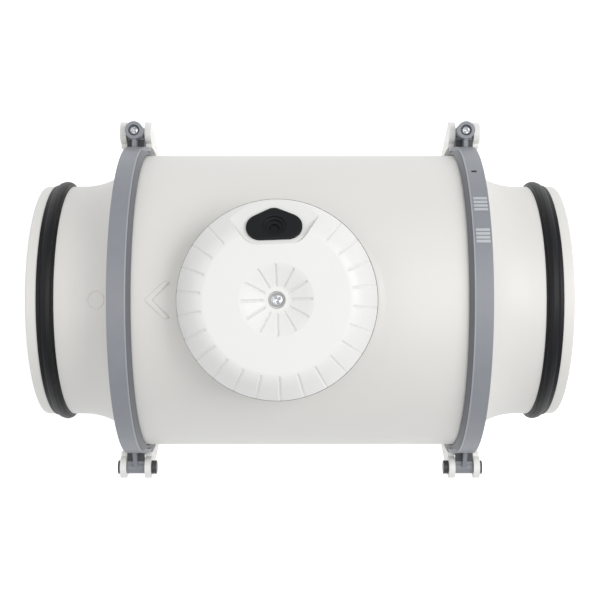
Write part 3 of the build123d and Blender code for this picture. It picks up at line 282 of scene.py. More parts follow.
class Palette:
    """Every finish of the fan, by what it is and how its surface was made."""

    # Spark-eroded ABS: a warm white satin skin with a very fine even grain
    CASING_ABS = Finish("moulded_abs_warm_white", "white_plastic", "#DDDBD6", "#E2E0DB", 0.46, 0.55, 0.02)
    # Polished-tool ABS: the cover's face is a little brighter and smoother than the body
    COVER_ABS = Finish("moulded_abs_cover_white", "white_plastic", "#E3E2DF", "#E7E6E3", 0.38, 0.9, 0.008)
    # Bright ABS of the bracket's uprights, the same grain with more light in it
    BRACKET_ABS = Finish("moulded_abs_bracket_white", "white_plastic", "#E9E8E4", "#EEEDEA", 0.42, 0.6, 0.015)
    # Glass-filled nylon: a cool mid grey, slightly mottled where the fibres lie near the skin
    CLAMP_NYLON = Finish(
        "glass_filled_nylon_grey", "grey_plastic", "#85888D", "#8D9095", 0.44, 0.7, 0.02, 9.0
    )
    # The same nylon on the band's side, a darker grey as painted shade where the steep flank turns from the
    # light
    SHADED_FLANK_NYLON = Finish(
        "glass_filled_nylon_side_grey", "grey_plastic", "#67696D", "#6F7175", 0.55, 0.9, 0.03, 9.0
    )
    # The same nylon along the band's rounded edge, a shade paler as a painted highlight where the edge
    # catches the light
    HIGHLIGHT_EDGE_NYLON = Finish(
        "glass_filled_nylon_edge_grey", "grey_plastic", "#9DA0A4", "#A5A8AC", 0.36, 0.6, 0.01, 9.0
    )
    # The same nylon where its ribs catch the light, a paler grey
    RIB_NYLON = Finish(
        "glass_filled_nylon_rib_grey", "grey_plastic", "#B4B6B9", "#BCBEC1", 0.4, 0.6, 0.015, 9.0
    )
    # The same nylon, dark, for the hinge pins; the same dark grey is painted shade on the floors of the lug
    # pockets
    DARK_NYLON_AND_PAINTED_SHADE = Finish("moulded_nylon_dark_grey", "dark_grey_plastic", "#3A3B3E", "#434447", 0.42, 0.6, 0.015)
    # Satin polypropylene of the impeller and guide vanes
    AIRWAY_PLASTIC = Finish(
        "moulded_polypropylene_grey", "grey_moulding", "#8F9194", "#96989B", 0.4, 0.8, 0.02
    )
    # EPDM: soft black with little shine, and the same black as painted shade in the cover's joint and the
    # inlet's witness slot
    EPDM = Finish("moulded_epdm_black", "black_rubber", "#0C0D0F", "#141517", 0.5, 0.5, 0.02, 14.0, ior=1.38)
    # Zinc plate with a dark passivation: a dull grey metal with faint turning lines
    ZINC = BrushedFinish(
        "zinc_plated_steel", "zinc_plated_steel", "#4C4F52", "#414447", 0.38, 0.35, 0.01, 6.0, metallic=1.0
    )
    # Ground shaft and bearing rings: brighter, finer lines
    GROUND_STEEL = BrushedFinish(
        "ground_bearing_steel", "bearing_steel", "#C4C4C6", "#B8B8BB", 0.22, 0.3, 0.006, 8.0, metallic=1.0
    )
    # Stacked laminations: dark oxide with an edge every half millimetre, drawn at one
    LAMINATED = BrushedFinish(
        "laminated_electrical_steel", "electrical_steel", "#55565A", "#4A4B50", 0.5, 1.0, 0.05, 12.0,
        metallic=1.0,
    )
    # Die casting, blasted: a dull pale metal with an open grain
    CAST_ALUMINIUM = Finish(
        "die_cast_aluminium", "die_cast_aluminium", "#B9BABB", "#AEB0B1", 0.5, 0.5, 0.05, 20.0, metallic=1.0
    )
    # Enamelled wire in its turns: a copper-red lacquer
    ENAMELLED_COPPER = BrushedFinish(
        "enamelled_copper_winding", "copper_wire", "#9A4A22", "#7E3818", 0.28, 0.8, 0.2, 5.0
    )
    # Unfilled nylon: milky and slightly waxy
    NATURAL_NYLON = Finish("natural_nylon", "natural_nylon", "#E4E1D2", "#DCD8C6", 0.38, 0.7, 0.01, 12.0)
    # Turned brass
    BRASS = BrushedFinish(
        "turned_brass", "brass_screws", "#D0A855", "#C39A48", 0.28, 0.3, 0.01, 5.0, metallic=1.0
    )
    # Smooth polyester case
    CAPACITOR_CASE = Finish("smooth_polyester_case", "capacitor_case", "#DADAD8", "#E2E2E0", 0.25, 1.2, 0.004)


NODES_BY_FINISH: tuple[tuple[Finish, tuple[str, ...]], ...] = (
    (Palette.CASING_ABS, ("body_casing", "outlet_spigot", "inlet_spigot")),
    (Palette.COVER_ABS, ("terminal_cover",)),
    (Palette.BRACKET_ABS, ("mounting_bracket",)),
    (
        Palette.CLAMP_NYLON,
        ("outlet_clamp_front", "inlet_clamp_front", "outlet_clamp_rear", "inlet_clamp_rear"),
    ),
    (Palette.DARK_NYLON_AND_PAINTED_SHADE, ("outlet_hinge_pin", "inlet_hinge_pin")),
    (
        Palette.EPDM,
        (
            "outlet_lip_seal", "inlet_lip_seal", "outlet_gasket", "inlet_gasket", "cover_gasket",
            "cable_grommet",
        ),
    ),
    (
        Palette.ZINC,
        (
            "outlet_clamp_screw", "inlet_clamp_screw", "cover_screw", "clamp_nuts", "strap_screws",
            "motor_screws", "impeller_nut",
        ),
    ),
    (Palette.NATURAL_NYLON, ("terminal_block", "cord_strap")),
    (Palette.BRASS, ("terminal_screws",)),
    (Palette.CAPACITOR_CASE, ("capacitor",)),
    (Palette.AIRWAY_PLASTIC, ("inlet_cone", "impeller", "guide_vane_carrier", "tail_cone")),
    (Palette.CAST_ALUMINIUM, ("motor_housing", "motor_end_shield")),
    (Palette.GROUND_STEEL, ("front_bearing", "rear_bearing", "motor_shaft")),
    (Palette.LAMINATED, ("stator_core", "motor_rotor")),
    (Palette.ENAMELLED_COPPER, ("stator_windings",)),
)
NODE_FINISHES = {name: finish for finish, names in NODES_BY_FINISH for name in names}


def dress_frame(nodes: dict[str, bpy.types.Object]) -> None:
    """Give every carried-over node its finish.

    Args:
        nodes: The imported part's nodes by name.
    """
    for name, node in nodes.items():
        material = NODE_FINISHES[name].material()
        node.data.materials.clear()
        node.data.materials.append(material)
        log.info("dressed %s with %s", name, material.name)


# ------------------------------------------------------------------ mesh helpers


def mesh_piece(
    name: str,
    points: np.ndarray,
    faces: list[tuple[int, ...]],
    finish: Finish,
    body: Body,
    sharp_degrees: float = 35.0,
) -> bpy.types.Object:
    """Make one closed piece from points in millimetres and put it on a body.

    Args:
        name: Name of the piece.
        points: One row of x, y, z for each vertex.
        faces: Vertex numbers of each face.
        finish: Finish of the piece.
        body: Body that it rides on.
        sharp_degrees: Edges that turn more than this stay crisp.

    Returns:
        The new object.
    """
    mesh = bpy.data.meshes.new(name)
    mesh.from_pydata((np.asarray(points, float) * MM).tolist(), [], faces)
    work = bmesh.new()
    work.from_mesh(mesh)
    bmesh.ops.recalc_face_normals(work, faces=work.faces)
    work.to_mesh(mesh)
    work.free()
    mesh.shade_smooth()
    mesh.set_sharp_from_angle(angle=math.radians(sharp_degrees))
    mesh.materials.append(finish.material())
    piece = bpy.data.objects.new(name, mesh)
    bpy.context.scene.collection.objects.link(piece)
    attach(piece, body.value)
    log.info("made %s: %d faces", name, len(faces))
    return piece


def corners_mm(node: str) -> tuple[Vector, Vector]:
    """Lowest and highest corners of a node in millimetres."""
    low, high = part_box(node)
    return low / MM, high / MM


def rounded(corners: list[tuple[float, float, float]], steps: int = 6) -> list[Point]:
    """Closed outline with its corners rounded.

    Args:
        corners: Corner points with the radius of each, as (a, b, radius).
        steps: Segments in each rounding.

    Returns:
        Points of the outline in order.
    """
    outline: list[Point] = []
    count = len(corners)
    for i, (x, y, radius) in enumerate(corners):
        here = Vector((x, y))
        if radius <= 0:
            outline.append((x, y))
            continue
        back = (Vector(corners[i - 1][:2]) - here).normalized()
        ahead = (Vector(corners[(i + 1) % count][:2]) - here).normalized()
        half = back.angle(ahead) / 2
        run = radius / math.tan(half)
        centre = here + (back + ahead).normalized() * radius / math.sin(half)
        start, stop = here + back * run - centre, here + ahead * run - centre
        sweep = start.angle_signed(stop)
        for k in range(steps + 1):
            turn = -sweep * k / steps
            c, s = math.cos(turn), math.sin(turn)
            outline.append((centre.x + start.x * c - start.y * s, centre.y + start.x * s + start.y * c))
    return outline


def ring_faces(rings: int, count: int, closed: bool) -> list[tuple[int, ...]]:
    """Faces that join each ring of points to the next.

    Args:
        rings: How many rings there are.
        count: Points in each.
        closed: Whether the last ring joins the first.

    Returns:
        Vertex numbers of each face.
    """
    faces: list[tuple[int, ...]] = []
    for i in range(rings if closed else rings - 1):
        a, b = i * count, (i + 1) % rings * count
        for k in range(count):
            n = (k + 1) % count
            faces.append((a + k, a + n, b + n, b + k))
    return faces


def lathe(
    name: str,
    outline: list[Point],
    axis_height: float,
    finish: Finish,
    body: Body,
    start: float = 0.0,
    stop: float = 360.0,
    steps: int = 300,
) -> bpy.types.Object:
    """Turn a closed outline of (x, radius) about the duct axis.

    Args:
        name: Name of the piece.
        outline: Points of the section in order.
        axis_height: Height of the duct axis.
        finish: Finish of the piece.
        body: Body that it rides on.
        start: First angle in degrees, measured from +Y towards +Z.
        stop: Last angle in degrees.
        steps: Segments round the whole sweep.

    Returns:
        The new object.
    """
    whole = abs(stop - start - 360.0) < 1e-6
    rings = steps if whole else steps + 1
    angles = np.radians(np.linspace(start, stop, steps + 1)[:rings])
    section = np.array(outline, float)
    count = len(section)
    points = np.empty((rings, count, 3))
    points[..., 0] = section[:, 0]
    points[..., 1] = np.outer(np.cos(angles), section[:, 1])
    points[..., 2] = axis_height + np.outer(np.sin(angles), section[:, 1])
    faces = ring_faces(rings, count, whole)
    if not whole:
        last = (rings - 1) * count
        faces.append(tuple(range(count)))
        faces.append(tuple(last + k for k in reversed(range(count))))
    return mesh_piece(name, points.reshape(-1, 3), faces, finish, body)


def lofted(name: str, loops: list[np.ndarray], finish: Finish, body: Body) -> bpy.types.Object:
    """Join loops of equal length one after another, and close both ends.

    Args:
        name: Name of the piece.
        loops: Each an array of x, y, z rows.
        finish: Finish of the piece.
        body: Body that it rides on.

    Returns:
        The new object.
    """
    count = len(loops[0])
    faces = ring_faces(len(loops), count, False)
    faces.append(tuple(range(count)))
    faces.append(tuple((len(loops) - 1) * count + k for k in reversed(range(count))))
    return mesh_piece(name, np.concatenate(loops), faces, finish, body)


# ------------------------------------------------------------------ duct line


@dataclass
class DuctLine:
    """The two spigots with their lip seals, and the ring mark on the outlet's flare."""

    axis_height: float
    rim_x: float
    bore_r: float = 71.5
    duct_r: float = 74.0
    rim_round: float = 1.0
    mouth_round: float = 0.8
    flange_r: float = 96.5
    flange_face: float = 106.3
    flange_back: float = 109.3
    flare_r: float = 46.0
    flare_start: float = 140.0
    seal_back: float = 6.5
    seal_width: float = 10.5
    groove: float = 1.0
    seal_band: float = 0.8
    lip_back: float = 8.9
    lip_width: float = 7.2
    lip_height: float = 3.3
    mark_x: float = 120.7
    mark_r: float = 5.2
    mark_rise: float = 0.28

    def flare(self, x: float, wall: float = 0.0) -> float:
        """Radius of the flare at x, on a face a wall's depth inside it."""
        reach = self.flare_r + wall
        return self.duct_r + self.flare_r - math.sqrt(reach**2 - (x - self.flare_start) ** 2)

    def spigot(self, end: End) -> bpy.types.Object:
        """Build one spigot: flange, flare, straight tube with its seal groove and rounded rim.

        Args:
            end: Which end of the duct line.

        Returns:
            The spigot.
        """
        seal_out = self.rim_x - self.seal_back
        seal_in = seal_out - self.seal_width
        steps = 26
        outside = np.linspace(self.flare_start, self.flange_back + 0.6, steps)
        inside = np.linspace(self.flange_face, self.flare_start, steps)
        wall = self.duct_r - self.bore_r
        outline = [(x, self.flare(x, wall)) for x in inside]
        rim = rounded(
            [
                (self.rim_x, self.bore_r, self.mouth_round),
                (self.rim_x, self.duct_r, self.rim_round),
                (self.flare_start, self.duct_r, 0.0),
                (self.flare_start, self.bore_r, 0.0),
            ]
        )
        # The two corners at the flare only guide the rounding of the rim
        outline += rim[:-2]
        outline += [
            (seal_out, self.duct_r),
            (seal_out, self.duct_r - self.groove),
            (seal_in, self.duct_r - self.groove),
            (seal_in, self.duct_r),
        ]
        outline += [(x, self.flare(x)) for x in outside]
        outline += [
            (self.flange_back, self.flare(self.flange_back + 0.6) + 0.6),
            (self.flange_back, self.flange_r - 0.5),
            (self.flange_back - 0.5, self.flange_r),
            (self.flange_face, self.flange_r),
        ]
        section = [(end.value * x, r) for x, r in outline]
        piece = lathe(
            f"{end.label}_spigot_moulding", section, self.axis_height, Palette.CASING_ABS, Body.FRAME
        )
        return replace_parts(piece, f"{end.label}_spigot")

    def lip_seal(self, end: End) -> bpy.types.Object:
        """Build one lip seal: a flat band with a rounded lip leaning towards the fan.

        Args:
            end: Which end of the duct line.

        Returns:
            The seal.
        """
        out_x = self.rim_x - self.seal_back - 0.1
        in_x = self.rim_x - self.seal_back - self.seal_width + 0.1
        lip_out = self.rim_x - self.lip_back
        lip_in = lip_out - self.lip_width
        seat = self.duct_r - self.groove + 0.1
        band = self.duct_r + self.seal_band
        crest = self.duct_r + self.lip_height
        outline = rounded(
            [
                (in_x, seat, 0.0),
                (out_x, seat, 0.0),
                (out_x, band, 0.35),
                (lip_out, band, 0.4),
                (lip_out - 1.1, crest - 0.9, 1.0),
                (lip_in + 3.2, crest, 1.4),
                (lip_in + 1.0, crest - 0.7, 1.0),
                (lip_in + 0.2, band, 0.35),
                (in_x, band, 0.35),
            ]
        )
        section = [(end.value * x, r) for x, r in outline]
        piece = lathe(f"{end.label}_lip_seal_ring", section, self.axis_height, Palette.EPDM, Body.FRAME)
        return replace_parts(piece, f"{end.label}_lip_seal")

    def ring_mark(self) -> bpy.types.Object:
        """Build the raised ring on the outlet flare, following the flare's surface.

        Returns:
            The ring.
        """
        turns = np.linspace(0, 2 * math.pi, 96, endpoint=False)
        section = [(-0.45, -0.4), (-0.3, self.mark_rise), (0.3, self.mark_rise), (0.45, -0.4)]
        loops = []
        for off, rise in section:
            loop = []
            for turn in turns:
                x = self.mark_x + (self.mark_r + off) * math.cos(turn)
                y = (self.mark_r + off) * math.sin(turn)
                radius = self.flare(x) + rise
                angle = y / radius
                loop.append((-x, radius * math.sin(angle), self.axis_height + radius * math.cos(angle)))
            loops.append(np.array(loop))
        faces = ring_faces(len(section), len(turns), True)
        return mesh_piece("outlet_ring_mark", np.concatenate(loops), faces, Palette.CASING_ABS, Body.FRAME)

    def build(self) -> None:
        """Build both ends and the mark."""
        for end in End:
            self.spigot(end)
            self.lip_seal(end)
        self.ring_mark()


# ------------------------------------------------------------------ terminal cover and grommet


@dataclass
class TerminalCover:
    """The round cover over the terminal box, with its dish, grooves and cable pocket."""

    centre_x: float
    base: float
    top: float
    radius: float = 57.0
    rim_rise: float = 3.2
    wall: float = 2.4
    plateau_r: float = 41.0
    bulge: float = 2.3
    dish_r: float = 20.2
    dish_depth: float = 4.0
    ring_r: float = 7.2
    turn: float = 2.0
    grooves: int = 26
    grooves_missing: int = 5
    groove_in: float = 42.5
    inner_grooves: int = 12
    inner_groove_in: float = 8.0
    groove_half: float = 0.95
    groove_depth: float = 0.95
    recess_r: float = 4.7
    recess: float = 2.6
    boss: float = 3.6
    shank_r: float = 2.2
    pocket_y: float = 31.0
    pocket_tilt: float = 26.0
    pocket_half: float = 14.6
    pocket_spread: float = 0.64
    pocket_corner: float = 5.0
    edge_round: float = 0.35
    foot_round: float = 0.3
    columns: int = 936
    grommet_at: float = 10.6

    def form(self, r: np.ndarray) -> np.ndarray:
        """Height of the cover's smooth outside at each radius."""
        rim = self.base + self.rim_rise
        t = np.clip((r - self.plateau_r) / (self.radius - self.plateau_r), 0, 1)
        slope = self.top + (rim - self.top) * t
        rise = math.hypot(self.radius - self.plateau_r, self.top - rim)
        slope = slope + 4 * self.bulge * (rise / (self.radius - self.plateau_r)) * t * (1 - t)
        slope = np.minimum(slope, self.top - 0.25 * np.clip(t, 0, 0.2))
        soft = np.clip((self.dish_r + 0.8 - r) / 1.6, 0, 1)
        floor = self.top - self.dish_depth
        cone = floor + self.dish_depth * np.clip((r - self.ring_r) / (self.dish_r - self.ring_r), 0, 1)
        cone = np.minimum(cone, self.top - 0.35 * soft)
        return np.where(r > self.dish_r + 0.8, slope, cone)

    def groove_cut(self, r: np.ndarray, angle: np.ndarray) -> np.ndarray:
        """Depth of the V-grooves at each point."""
        step = 360.0 / self.grooves
        first = 90.0 + self.turn + step * (self.grooves_missing + 1) / 2
        index = np.round((angle - first) % 360.0 / step)
        off = np.abs(((angle - first) % 360.0) - index * step)
        index = index % self.grooves
        across = np.radians(off) * r
        cut = np.clip(1 - across / self.groove_half, 0, 1) * self.groove_depth
        ends = np.clip((r - self.groove_in) / 0.8, 0, 1)
        outer = cut * ends * (index < self.grooves - self.grooves_missing)
        inner_step = 360.0 / self.inner_grooves
        inner_off = np.abs((angle - self.turn + inner_step / 2) % inner_step - inner_step / 2)
        inner_cut = np.clip(1 - np.radians(inner_off) * r / self.groove_half, 0, 1) * self.groove_depth
        inner = inner_cut * (r > self.inner_groove_in) * np.clip((self.dish_r - r) / 0.6, 0, 1)
        return outer + inner

    def pocket_floor(self, x: np.ndarray, y: np.ndarray, grow: float) -> np.ndarray:
        """Height of the pocket's floor, or a great height outside it.

        Args:
            x: Distance across the pocket from its middle.
            y: Distance outwards from the cover's middle.
            grow: How far the pocket is grown for the inside of the wall.

        Returns:
            Height of the floor where the pocket is, with steep soft sides.
        """
        slope = math.tan(math.radians(self.pocket_tilt))
        floor = self.top - slope * (y - self.pocket_y) - grow
        down = (y - self.pocket_y) / math.cos(math.radians(self.pocket_tilt)) + grow
        half = self.pocket_half + grow + self.pocket_spread * np.maximum(down, 0)
        inset = half - np.abs(x)
        corner = self.pocket_corner
        near = np.hypot(np.maximum(corner - inset, 0), np.maximum(corner - down, 0))
        inside = np.where((inset < corner) & (down < corner), corner - near, np.minimum(inset, down))
        soft = np.clip(0.5 - inside / 0.9, 0, 1)
        soft = soft * soft * (3 - 2 * soft)
        return floor + soft * 30.0

    def outside(self, r: np.ndarray, angle: np.ndarray, grow: float = 0.0) -> np.ndarray:
        """Height of the outside, or of the inside where grow is the wall.

        Args:
            r: Radius of each point from the cover's middle.
            angle: Its angle in degrees from +X.
            grow: Wall between the outside and the surface wanted.

        Returns:
            Heights above the frame's zero.
        """
        height = self.form(r) - grow
        if not grow:
            height = height - self.groove_cut(r, angle)
            recess = np.clip((self.recess_r + 0.25 - r) / 0.5, 0, 1)
            height = height - self.recess * recess
        else:
            boss_floor = self.top - self.dish_depth - self.recess - self.boss
            height = np.where(r < self.ring_r, boss_floor, height)
        turned = np.radians(angle - self.turn)
        across, out = r * np.cos(turned), r * np.sin(turned)
        return np.minimum(height, self.pocket_floor(across, out, grow))

    def build(self) -> bpy.types.Object:
        """Build the cover as one closed shell.

        Returns:
            The cover.
        """
        angles = np.linspace(0, 360, self.columns, endpoint=False)
        dish = np.concatenate([
            np.array([self.shank_r, 3.4]),
            np.linspace(self.recess_r - 0.4, self.recess_r + 0.4, 6),
            np.linspace(5.6, self.dish_r - 0.8, 16),
            np.linspace(self.dish_r - 0.5, self.dish_r + 0.9, 7),
        ])
        plain = np.linspace(self.dish_r + 2.0, 29.5, 6)
        fine = np.linspace(30.0, self.radius - self.edge_round, 74)
        radii = np.concatenate([dish, plain, fine])
        rr, aa = np.meshgrid(radii, angles, indexing="ij")
        upper = self.outside(rr, aa)
        inner_radii = np.concatenate([
            np.array([self.radius - self.wall]),
            np.linspace(self.radius - self.wall - 0.2, 28.0, 40),
            np.linspace(26.0, self.ring_r, 8),
            np.array([self.ring_r - 0.3, self.shank_r]),
        ])
        ri, ai = np.meshgrid(inner_radii, angles, indexing="ij")
        lower = np.maximum(self.outside(ri, ai, self.wall), self.base + 0.4)
        edge_r = self.radius - self.edge_round
        edge_top = self.outside(np.full_like(angles, edge_r), angles) - self.edge_round
        rings = [(rr[i], upper[i]) for i in range(len(radii))]
        rings.append((np.full_like(angles, self.radius), edge_top))
        for r, z in (
            (self.radius, self.base + self.foot_round),
            (self.radius - self.foot_round, self.base),
            (self.radius - self.wall, self.base),
        ):
            rings.append((np.full_like(angles, r), np.full_like(angles, z)))
        rings += [(ri[i], lower[i]) for i in range(1, len(inner_radii))]
        turn = np.radians(angles)
        points = np.concatenate([
            np.stack([self.centre_x + r * np.cos(turn), r * np.sin(turn), z], axis=1) for r, z in rings
        ])
        faces = ring_faces(len(rings), self.columns, True)
        return mesh_piece("terminal_cover_moulding", points, faces, Palette.COVER_ABS, Body.COVER, 22.0)

    def joint_shadow_ring(self) -> bpy.types.Object:
        """Build a thin black ring in the joint under the cover's rim: painted shadow for the contact shadow
        there.

        Returns:
            The ring of painted shadow.
        """
        section = rounded(
            [
                (self.radius - 0.9, self.base - 0.75, 0.0),
                (self.radius + 0.35, self.base - 0.75, 0.2),
                (self.radius + 0.45, self.base + 0.5, 0.25),
                (self.radius + 0.05, self.base + 0.9, 0.15),
                (self.radius + 0.05, self.base - 0.05, 0.0),
                (self.radius - 0.9, self.base - 0.05, 0.0),
            ],
            4,
        )
        # Black ring standing out under the rim: painted shadow for the joint's contact shadow
        count, steps = len(section), 360
        turns = np.radians(np.arange(steps))
        flat = np.array(section, float)
        points = np.empty((steps, count, 3))
        points[..., 0] = self.centre_x + np.outer(np.cos(turns), flat[:, 0])
        points[..., 1] = np.outer(np.sin(turns), flat[:, 0])
        points[..., 2] = flat[:, 1]
        faces = ring_faces(steps, count, True)
        return mesh_piece("cover_joint_painted_shadow", points.reshape(-1, 3), faces, Palette.EPDM, Body.COVER)

    def slope_frame(self) -> tuple[np.ndarray, np.ndarray, np.ndarray, np.ndarray]:
        """Middle of the grommet on the pocket's floor, with its across, down and normal directions."""
        tilt, turn = math.radians(self.pocket_tilt), math.radians(self.turn)
        out = np.array([-math.sin(turn), math.cos(turn), 0.0])
        normal = out * math.sin(tilt) + np.array([0.0, 0.0, math.cos(tilt)])
        down = out * math.cos(tilt) - np.array([0.0, 0.0, math.sin(tilt)])
        across = np.cross(down, normal)
        origin = np.array([self.centre_x, 0.0, self.top]) + out * self.pocket_y + down * self.grommet_at
        return origin, across, down, normal


@dataclass
class CableGrommet:
    """The black cable grommet: a three-lobed flange with stepped rings to its centre."""

    cover: TerminalCover
    side: float = 7.7
    side_r: float = 8.1
    nose: float = 5.2
    nose_r: float = 6.8
    flange: float = 1.6
    neck_inset: float = 2.2
    segments: int = 144

    def lobes(self, inset: float) -> np.ndarray:
        """Outline of the three joined lobes.

        Args:
            inset: How far inside the flange's edge.

        Returns:
            Rows of across and down, one for each direction from the centre.
        """
        circles = [
            (-self.side, 0.0, self.side_r),
            (self.side, 0.0, self.side_r),
            (0.0, self.nose, self.nose_r),
        ]
        ring = np.linspace(0, 2 * math.pi, 721)
        cloud = np.concatenate([
            np.stack([x + (r - inset) * np.cos(ring), y + (r - inset) * np.sin(ring)], axis=1)
            for x, y, r in circles
        ])
        directions = np.linspace(0, 2 * math.pi, 720, endpoint=False)
        normals = np.stack([np.cos(directions), np.sin(directions)], axis=1)
        support = (cloud @ normals.T).max(axis=0)
        wanted = np.linspace(0, 2 * math.pi, self.segments, endpoint=False)
        rays = np.stack([np.cos(wanted), np.sin(wanted)], axis=1)
        along = rays @ normals.T
        reach = np.where(along > 1e-3, support / np.maximum(along, 1e-3), np.inf).min(axis=1)
        return rays * reach[:, None]

    def circle(self, radius: float) -> np.ndarray:
        """Circle about the cable's centre with as many points as the outline."""
        ring = np.linspace(0, 2 * math.pi, self.segments, endpoint=False)
        return np.stack([radius * np.cos(ring), radius * np.sin(ring)], axis=1)

    def opening(self, cover: bpy.types.Object) -> bpy.types.Object:
        """Cut the hole for the grommet's neck through the cover's wall.

        Args:
            cover: The cover to cut.

        Returns:
            The cut cover, which stands for the carried-over one.
        """
        origin, across, down, normal = self.cover.slope_frame()
        flat = self.lobes(self.neck_inset - 0.1)
        loops = [
            origin + flat[:, :1] * across + flat[:, 1:] * down + height * normal
            for height in (-2.5 * self.cover.wall, 2.5 * self.cover.wall)
        ]
        cutter = lofted("grommet_opening_cutter", loops, Palette.COVER_ABS, Body.COVER)
        cut = cover.modifiers.new("grommet_opening", "BOOLEAN")
        cut.operation = "DIFFERENCE"
        cut.solver = "EXACT"
        cut.object = cutter
        bpy.context.view_layer.update()
        evaluated = cover.evaluated_get(bpy.context.evaluated_depsgraph_get())
        mesh = bpy.data.meshes.new_from_object(evaluated)
        cover.modifiers.clear()
        cover.data = mesh
        bpy.data.objects.remove(cutter)
        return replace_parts(cover, "terminal_cover")

    def build(self) -> bpy.types.Object:
        """Build the grommet as one loft, from its inner flange out and down its steps.

        Returns:
            The grommet.
        """
        origin, across, down, normal = self.cover.slope_frame()
        neck = self.cover.wall + 0.2
        lift = 0.1
        top = lift + self.flange
        stack: list[tuple[np.ndarray, float]] = [
            (self.lobes(self.neck_inset / 2), lift - neck - self.flange),
            (self.lobes(self.neck_inset / 2), lift - neck),
            (self.lobes(self.neck_inset), lift - neck),
            (self.lobes(self.neck_inset), lift),
            (self.lobes(0.15), lift),
            (self.lobes(0.0), lift + 0.15),
            (self.lobes(0.0), top - 0.55),
            (self.lobes(0.16), top - 0.16),
            (self.lobes(0.55), top),
            (self.lobes(1.5), top + 0.02),
            (self.circle(7.0), top - 0.02),
            (self.circle(6.7), top - 0.1),
            (self.circle(6.55), top - 0.35),
            (self.circle(6.4), top - 1.1),
            (self.circle(6.2), top - 1.2),
            (self.circle(5.15), top - 1.2),
            (self.circle(4.9), top - 1.4),
            (self.circle(4.75), top - 2.5),
            (self.circle(4.5), top - 2.6),
            (self.circle(3.0), top - 2.6),
            (self.circle(2.8), top - 2.8),
            (self.circle(2.6), top - 3.9),
            (self.circle(1.0), top - 3.95),
        ]
        loops = [
            origin + flat[:, :1] * across + flat[:, 1:] * down + height * normal
            for flat, height in stack
        ]
        piece = lofted("cable_grommet_moulding", loops, Palette.EPDM, Body.COVER)
        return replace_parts(piece, "cable_grommet")


# ------------------------------------------------------------------ screws


@dataclass
class CrossHeadScrew:
    """A pan-head screw with a tapered cross recess, standing on its seat."""

    name: str
    node: str
    body: Body
    head_r: float
    head_rise: float
    shank_r: float
    turn: float
    crown: float = 0.9
    arm_share: float = 0.66
    slot_share: float = 0.15
    core_share: float = 0.3
    depth_share: float = 0.72
    tip_r: float = 0.06
    columns: int = 192

    def top(self, r: np.ndarray, angle: np.ndarray) -> np.ndarray:
        """Height of the head above its seat.

        Args:
            r: Radius of each point from the screw's axis.
            angle: Its angle in radians.

        Returns:
            Heights with the cross recess taken out.
        """
        pan = self.head_rise - self.crown * (r / self.head_r) ** 4
        a = angle - math.radians(self.turn)
        x, y = np.abs(r * np.cos(a)), np.abs(r * np.sin(a))
        arm, half = self.arm_share * self.head_r, self.slot_share * self.head_r
        narrow, wide = np.minimum(x, y), np.maximum(x, y)
        depth = self.depth_share * self.head_rise * np.clip(1.15 - 0.7 * wide / arm, 0, 1)
        inside = np.minimum((half - narrow) / 0.22, (arm - wide) / 0.3)
        core = (self.core_share * self.head_r - r) / 0.25
        return pan - depth * np.clip(np.maximum(inside, core) + 0.5, 0, 1)

    def build(self) -> bpy.types.Object:
        """Build the screw where its carried-over node stands.

        Returns:
            The screw.
        """
        low, high = corners_mm(self.node)
        centre = (low + high) / 2
        seat = high.z - self.head_rise
        angles = np.linspace(0, 2 * math.pi, self.columns, endpoint=False)
        radii = np.concatenate([np.array([self.tip_r]), np.linspace(0.15, 0.8, 22) * self.head_r])
        rings = [(np.full_like(angles, r), seat + self.top(np.full_like(angles, r), angles)) for r in radii]
        for r, z in (
            (0.9 * self.head_r, seat + self.head_rise - 0.62),
            (0.97 * self.head_r, seat + self.head_rise - 1.0),
            (self.head_r, seat + self.head_rise - 1.4),
            (self.head_r, seat + 0.15),
            (self.head_r - 0.15, seat),
            (self.shank_r, seat),
            (self.shank_r, low.z + 0.8),
            (self.shank_r - 0.7, low.z),
            (self.tip_r, low.z),
        ):
            rings.append((np.full_like(angles, r), np.full_like(angles, z)))
        loops = [
            np.stack([centre.x + r * np.cos(angles), centre.y + r * np.sin(angles), z], 1)
            for r, z in rings
        ]
        piece = lofted(self.name, loops, Palette.ZINC, self.body)
        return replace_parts(piece, self.node)
